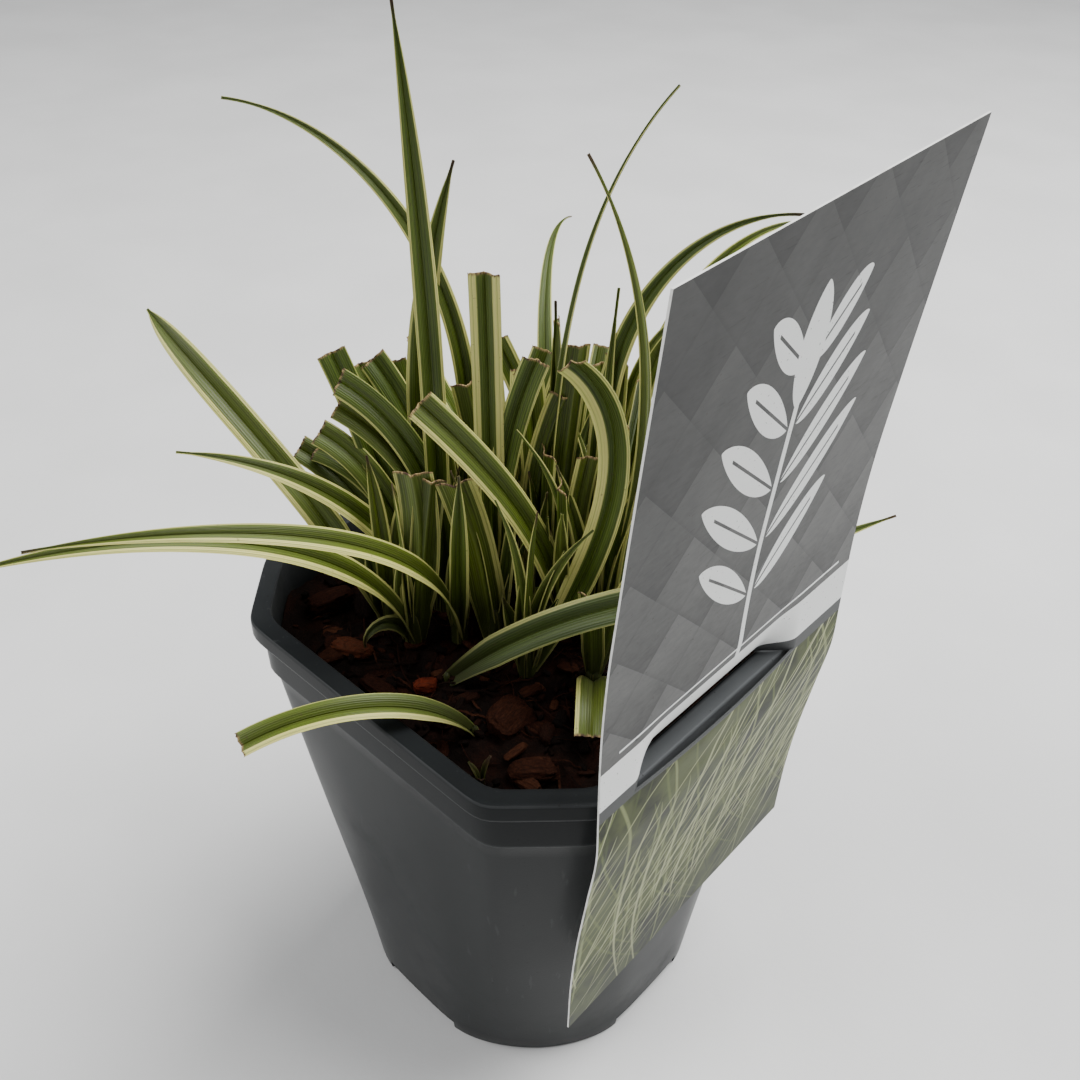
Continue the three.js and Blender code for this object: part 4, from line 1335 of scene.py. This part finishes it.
def chip_fits(x, y, length, low_points):
    half = length / 2
    off_wall = square_reach(math.atan2(y, x), INNER_TOP) - math.hypot(x, y) > half + 2
    off_shoots = all(math.hypot(x - sx, y - sy) > half + 5 for sx, sy, *_ in SHOOTS.values())
    off_leaves = (np.hypot(x - low_points[:, 0], y - low_points[:, 1]) > half + 2).all()
    return off_wall and off_shoots and off_leaves


CHIP_CORNERS = (
    (1, 1, 1), (1, 1, -1), (1, -1, 1), (1, -1, -1),
    (-1, 1, -1), (-1, 1, 1), (-1, -1, -1), (-1, -1, 1),
)


def chip_shell(shells, row, draws, tone, fineness):
    """A broken flake of bark: a slab with uneven corners, worn edges and a split face."""
    x, y, over, length, width, thickness, turn = row
    grid = np.array(cube_places(fineness), float) * 2 / fineness - 1
    low_to_high = (grid + 1) / 2
    points = np.zeros_like(grid)
    for corner in CHIP_CORNERS:
        place = np.array(corner) * [0.62 + 0.38 * next(draws) for _ in range(3)]
        nearness = np.where(np.array(corner) > 0, low_to_high, 1 - low_to_high).prod(1)
        points += nearness[:, None] * place
    tilts = [0.5 * (next(draws) - 0.5) for _ in range(2)]
    # Wear the edges and corners off, narrow the ends, and roughen the faces along the grain.
    rounded_edges = np.linalg.norm(grid, axis=1, ord=3)[:, None]
    points /= rounded_edges ** 0.8
    points[:, 1] *= 1 - 0.28 * np.abs(points[:, 0]) ** 2
    size = np.array([length, width, thickness]) / 2
    rough = np.array([noise.noise(Vector(p * (1.6, 3.4, 4.0)) + Vector((x, y, 0))) for p in points])
    local = points * size * (1.04 + 0.2 * rough[:, None])
    turned_by = (Matrix.Rotation(math.radians(turn), 3, "Z") @ Matrix.Rotation(tilts[1], 3, "Y")
                 @ Matrix.Rotation(tilts[0], 3, "X"))
    placed = local @ np.array(turned_by).T + (x, y, SOIL_LEVEL + over)
    shells.add(placed, cube_faces(fineness), tone=tone, **along_grain(local + (x, 0, y)))


def cube_places(n):
    """Where the points of a cube's surface are, n steps along each edge, each point once."""
    return [(i, j, k) for i in range(n + 1) for j in range(n + 1) for k in range(n + 1)
            if 0 in (i, j, k) or n in (i, j, k)]


def cube_faces(n):
    number = {place: index for index, place in enumerate(cube_places(n))}
    faces = []
    for axis in range(3):
        u, v = [(axis + 1) % 3, (axis + 2) % 3]
        for end in (0, n):
            for a in range(n):
                for b in range(n):
                    loop = []
                    for da, db in ((0, 0), (1, 0), (1, 1), (0, 1)):
                        place = [0, 0, 0]
                        place[axis] = end
                        place[u] = a + da
                        place[v] = b + db
                        loop.append(number[tuple(place)])
                    faces.append(tuple(loop if end else loop[::-1]))
    return faces


def make_chips(leaves, finish):
    draws = draw_from(CHIP_SEED)
    clouds = np.concatenate([cloud_of(leaf) for leaf in leaves])
    low_points = clouds[clouds[:, 2] < SOIL_LEVEL + 9]
    rows = [*LARGE_CHIPS, *scattered_chips(draws, low_points)]
    shells = Shells()
    tones = random.Random("tones of the chips")
    for number, row in enumerate(rows):
        tone = CHIP_TONES[number] if number < len(CHIP_TONES) else 0.3 + 0.4 * tones.random()
        chip_shell(shells, row, draws, tone, CHIP_STEPS)
    # Finer flakes and crumbs over the whole surface.
    fine = draw_from(CHIP_SEED + 1)
    for _ in range(FLAKES):
        angle = 2 * math.pi * next(fine)
        share = math.sqrt(next(fine)) * 0.97
        length = 2.2 + 6.5 * next(fine) ** 2
        reach = (square_reach(angle, INNER_TOP) - 1 - length / 2) * share
        x, y = reach * math.cos(angle), reach * math.sin(angle)
        over = float(soil_height(np.array([x]), np.array([y]))[0]) + 0.1 + 0.5 * next(fine)
        width = length * (0.4 + 0.4 * next(fine))
        row = (x, y, over, length, width, 0.8 + 1.6 * next(fine), 360 * next(fine))
        chip_shell(shells, row, fine, 0.12 + 0.62 * next(fine) ** 1.6, FLAKE_STEPS)
    chips = shells.piece("bark_chips")
    dress_piece(chips, 38, finish)
    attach(chips, "root")


def make_fibres(finish):
    """Thin shreds of bark and root that lie over the surface."""
    draws = random.Random("fibres")
    shells = Shells()
    sides = 5
    steps = 9
    for _ in range(FIBRES):
        angle = draws.random() * 2 * math.pi
        length = 6 + 16 * draws.random() ** 2
        reach = (square_reach(angle, INNER_TOP) - 3 - length / 2) * math.sqrt(draws.random())
        middle = reach * np.array([math.cos(angle), math.sin(angle)])
        heading = draws.random() * 2 * math.pi
        curl = 0.12 * (draws.random() - 0.5)
        radius = 0.14 + 0.3 * draws.random() ** 2
        s = np.linspace(-0.5, 0.5, steps + 1) * length
        way = heading + curl * s
        run = np.stack([np.cos(way), np.sin(way)], 1) * length / steps
        x, y = (middle + np.cumsum(run, 0) - run.sum(0) / 2).T
        arched = 0.9 * draws.random() * np.cos(s / length * 3)
        z = SOIL_LEVEL + soil_height(x, y) + radius + 0.35 + arched
        fibre_shell(shells, np.stack([x, y, z], 1), radius, sides, 0.3 + 0.42 * draws.random())
    fibres = shells.piece("bark_fibres")
    dress_piece(fibres, 80, finish)
    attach(fibres, "root")


def fibre_shell(shells, path, radius, sides, tone):
    along = np.gradient(path, axis=0)
    along /= np.linalg.norm(along, axis=1, keepdims=True)
    across = np.cross(along, (0, 0, 1))
    across /= np.linalg.norm(across, axis=1, keepdims=True)
    up = np.cross(across, along)
    angle = np.linspace(0, 2 * math.pi, sides, endpoint=False)
    taper = 1 - 0.75 * np.abs(np.linspace(-1, 1, len(path))) ** 3
    outward = across[:, None] * np.cos(angle)[None, :, None]
    outward = outward + up[:, None] * np.sin(angle)[None, :, None] * 0.6
    rings = path[:, None] + outward * (radius * taper)[:, None, None]
    points = np.concatenate([rings.reshape(-1, 3), path[:1], path[-1:]])
    faces = map(turned_over, ring_faces(len(path), sides))
    shells.add(points, faces, tone=tone, **along_grain(points))


# ---------------------------------------------------------------- label

# Height and distance from the pot's axis of the hanging sheet: it stands off the wall at
# its foot, swings out to a belly, is drawn in at the rim and leans out to its top.
LABEL_PROFILE = [
    (58, 61), (80, 61.3), (100, 62.6), (120, 64.8), (139, 66.8), (150, 66.5),
    (160, 66.2), (175, 65.9), (195, 66.3), (220, 68), (250, 70.4), (281, 73),
]
LABEL_FOOT = LABEL_PROFILE[0][0]
LABEL_TOP = LABEL_PROFILE[-1][0]
TONGUE_REACH = INNER_TOP - 0.9
SLIT_HEIGHT = POT_HEIGHT + 0.6
BELLY_HEIGHT = 139
TILT = 0.04  # how far the sheet leans sideways, once it is TILT_RISE away from the slit
TILT_RISE = 60


def label_reach(height):
    """A smooth curve through the sheet's profile."""
    heights, reaches = np.array(LABEL_PROFILE, float).T
    slopes = np.gradient(reaches, heights)
    i = np.clip(np.searchsorted(heights, height) - 1, 0, len(heights) - 2)
    step = heights[i + 1] - heights[i]
    t = (height - heights[i]) / step
    start = (1 + 2 * t) * (1 - t) ** 2 * reaches[i] + t * (1 - t) ** 2 * step * slopes[i]
    end = t * t * (3 - 2 * t) * reaches[i + 1] + t * t * (t - 1) * step * slopes[i + 1]
    return start + end


def smooth_step(value, low, high):
    t = np.clip((value - low) / (high - low), 0, 1)
    return t * t * (3 - 2 * t)


def label_points(y, height, in_tongue):
    off_middle = np.abs(y - SLIT_MIDDLE)
    inward = 1 - smooth_step(off_middle, TONGUE_HALF_WIDTH, SLIT_HALF_WIDTH)
    inward = inward * np.clip(1 - (height - SLIT_HEIGHT) / TONGUE_HEIGHT, 0, 1) ** 2
    outward = SLIT_BELLY * np.maximum(0, 1 - (off_middle / SLIT_HALF_WIDTH) ** 2)
    outward = outward * smooth_step(height, BELLY_HEIGHT, SLIT_HEIGHT)
    hanging = label_reach(height)
    x = hanging + (TONGUE_REACH - hanging) * inward if in_tongue else hanging + outward
    tilt = TILT * np.minimum(1, np.abs(height - SLIT_HEIGHT) / TILT_RISE)
    return np.stack([x, y, height + tilt * y], 1)


def make_label():
    columns = np.unique(np.concatenate([
        np.linspace(-LABEL_HALF_WIDTH, LABEL_HALF_WIDTH, 97),
        [SLIT_MIDDLE - SLIT_HALF_WIDTH, SLIT_MIDDLE + SLIT_HALF_WIDTH],
    ]).round(3))
    tongue_top = SLIT_HEIGHT + TONGUE_HEIGHT
    below = [
        *np.linspace(LABEL_FOOT, BELLY_HEIGHT, 52),
        *np.linspace(BELLY_HEIGHT + 1.6, SLIT_HEIGHT, 9),
    ]
    above = [
        *np.linspace(SLIT_HEIGHT, tongue_top, 20),
        *np.linspace(tongue_top + 1.4, LABEL_TOP, 74),
    ]
    heights = np.array([*below, *above])
    rows = [label_points(columns, np.full_like(columns, height), False) for height in below]
    rows += [label_points(columns, np.full_like(columns, height), True) for height in above]
    slit_row = len(below) - 1
    grid = np.array(rows)
    outward = (LABEL_THICKNESS / 2, 0, 0)
    points = np.concatenate([(grid + outward).reshape(-1, 3), (grid - outward).reshape(-1, 3)])
    in_slit = np.abs(columns - SLIT_MIDDLE) < SLIT_HALF_WIDTH - 1e-3
    # Its rows run up from the foot, so the outer face is seen from the sheet's other side.
    faces = map(turned_over, sheet_faces(len(rows), len(columns), slit_row, in_slit))
    label = mesh_piece("sheet_label", points, faces, {
        "side": np.tile(np.tile(columns, len(rows)), 2),
        "height": np.tile(np.repeat(heights, len(columns)), 2),
    })
    weld_slit_ends(label, slit_row, len(rows), in_slit)
    dress_piece(label, 40, label_front_finish(), label_back_finish(), label_edge_finish())
    paint_label(label)
    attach(label, "root")
    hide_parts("label")


def weld_slit_ends(label, slit_row, rows, in_slit):
    """Joins the two sides of the slit's row where the sheet isn't cut."""
    wide = len(in_slit)
    work = bmesh.new()
    work.from_mesh(label.data)
    work.verts.ensure_lookup_table()
    joined = {}
    for j in range(wide):
        if not in_slit[j]:
            for offset in (0, rows):
                lower = work.verts[(slit_row + offset) * wide + j]
                upper = work.verts[(slit_row + 1 + offset) * wide + j]
                joined[upper] = lower
    bmesh.ops.weld_verts(work, targetmap=joined)
    work.to_mesh(label.data)
    work.free()


def paint_label(label):
    """The printed finish on the face and in the slit, plain on the back, white round the edges."""
    printed, plain, core = range(3)
    for face in label.data.polygons:
        facing = face.normal.x
        side = abs(face.center.y / MM - SLIT_MIDDLE)
        in_slit = side < SLIT_HALF_WIDTH and abs(face.center.z / MM - SLIT_HEIGHT) < 0.5
        if abs(facing) < 0.5:
            face.material_index = printed if in_slit else core
        else:
            face.material_index = printed if facing > 0 else plain


# ---------------------------------------------------------------- stage, light and camera

FLOOR_HALF = 3000
FLOOR_LEVEL = -0.3


def make_floor():
    signs = ((-1, -1), (1, -1), (1, 1), (-1, 1))
    corners = [(x * FLOOR_HALF, y * FLOOR_HALF, FLOOR_LEVEL) for x, y in signs]
    floor = mesh_piece("floor", corners, [(0, 1, 2, 3)])
    floor.data.materials.append(floor_finish())


# Lights: where each stands and how wide it is, in metres, and its power in watts.
LIGHTS = {
    "window": ((0.34, 0.68, 1.5), 1.4, 55),
    "room": ((-1.0, -1.2, 1.3), 1.4, 25),
}
LIT_PLACE = (0, 0, 0.15)
SKY_COLOR = (0.93, 0.95, 1.0)
SKY_STRENGTH = 0.285


def make_lights():
    world = bpy.data.worlds.new("pale_surround")
    world.use_nodes = True
    background = world.node_tree.nodes["Background"]
    background.inputs["Color"].default_value = (*SKY_COLOR, 1)
    background.inputs["Strength"].default_value = SKY_STRENGTH
    bpy.context.scene.world = world
    for name, (place, size, power) in LIGHTS.items():
        lamp = bpy.data.lights.new(name, "AREA")
        lamp.shape = "DISK"
        lamp.size = size
        lamp.energy = power
        light = placed_object(name, lamp)
        light.location = place
        toward = Vector(LIT_PLACE) - Vector(place)
        light.rotation_euler = toward.to_track_quat("-Z", "Y").to_euler()


# The camera: where it looks from, how it is turned in degrees, and its sensor and lens.
CAMERA_PLACE = (158.4, -169.2, 346.5)
CAMERA_AZIMUTH = 42.846
CAMERA_ELEVATION = 38.006
CAMERA_ROLL = 0.841
SENSOR = 36
LENS = 36.23


def make_camera():
    azimuth = math.radians(CAMERA_AZIMUTH)
    elevation = math.radians(CAMERA_ELEVATION)
    roll = math.radians(CAMERA_ROLL)
    level = math.cos(elevation)
    back = Vector((math.sin(azimuth) * level, -math.cos(azimuth) * level, math.sin(elevation)))
    right = Vector((math.cos(azimuth), math.sin(azimuth), 0))
    up = back.cross(right)
    image_right = right * math.cos(roll) + up * math.sin(roll)
    image_up = up * math.cos(roll) - right * math.sin(roll)
    lens = bpy.data.cameras.new("camera")
    lens.sensor_width = SENSOR
    lens.lens = LENS
    lens.clip_start = 0.01
    lens.clip_end = 100
    camera = placed_object("camera", lens)
    turn = Matrix((image_right, image_up, back)).transposed().to_4x4()
    camera.matrix_world = Matrix.Translation(Vector(CAMERA_PLACE) * MM) @ turn
    bpy.context.scene.camera = camera


# ---------------------------------------------------------------- the whole

make_camera()
make_lights()
make_floor()
leaves = settle([*named_leaves(), *filler_leaves()])
make_pot()
bark = bark_finish()
make_soil(bark)
make_chips(leaves, bark)
make_fibres(bark)
make_label()
make_shoots(leaves, leaf_finish())
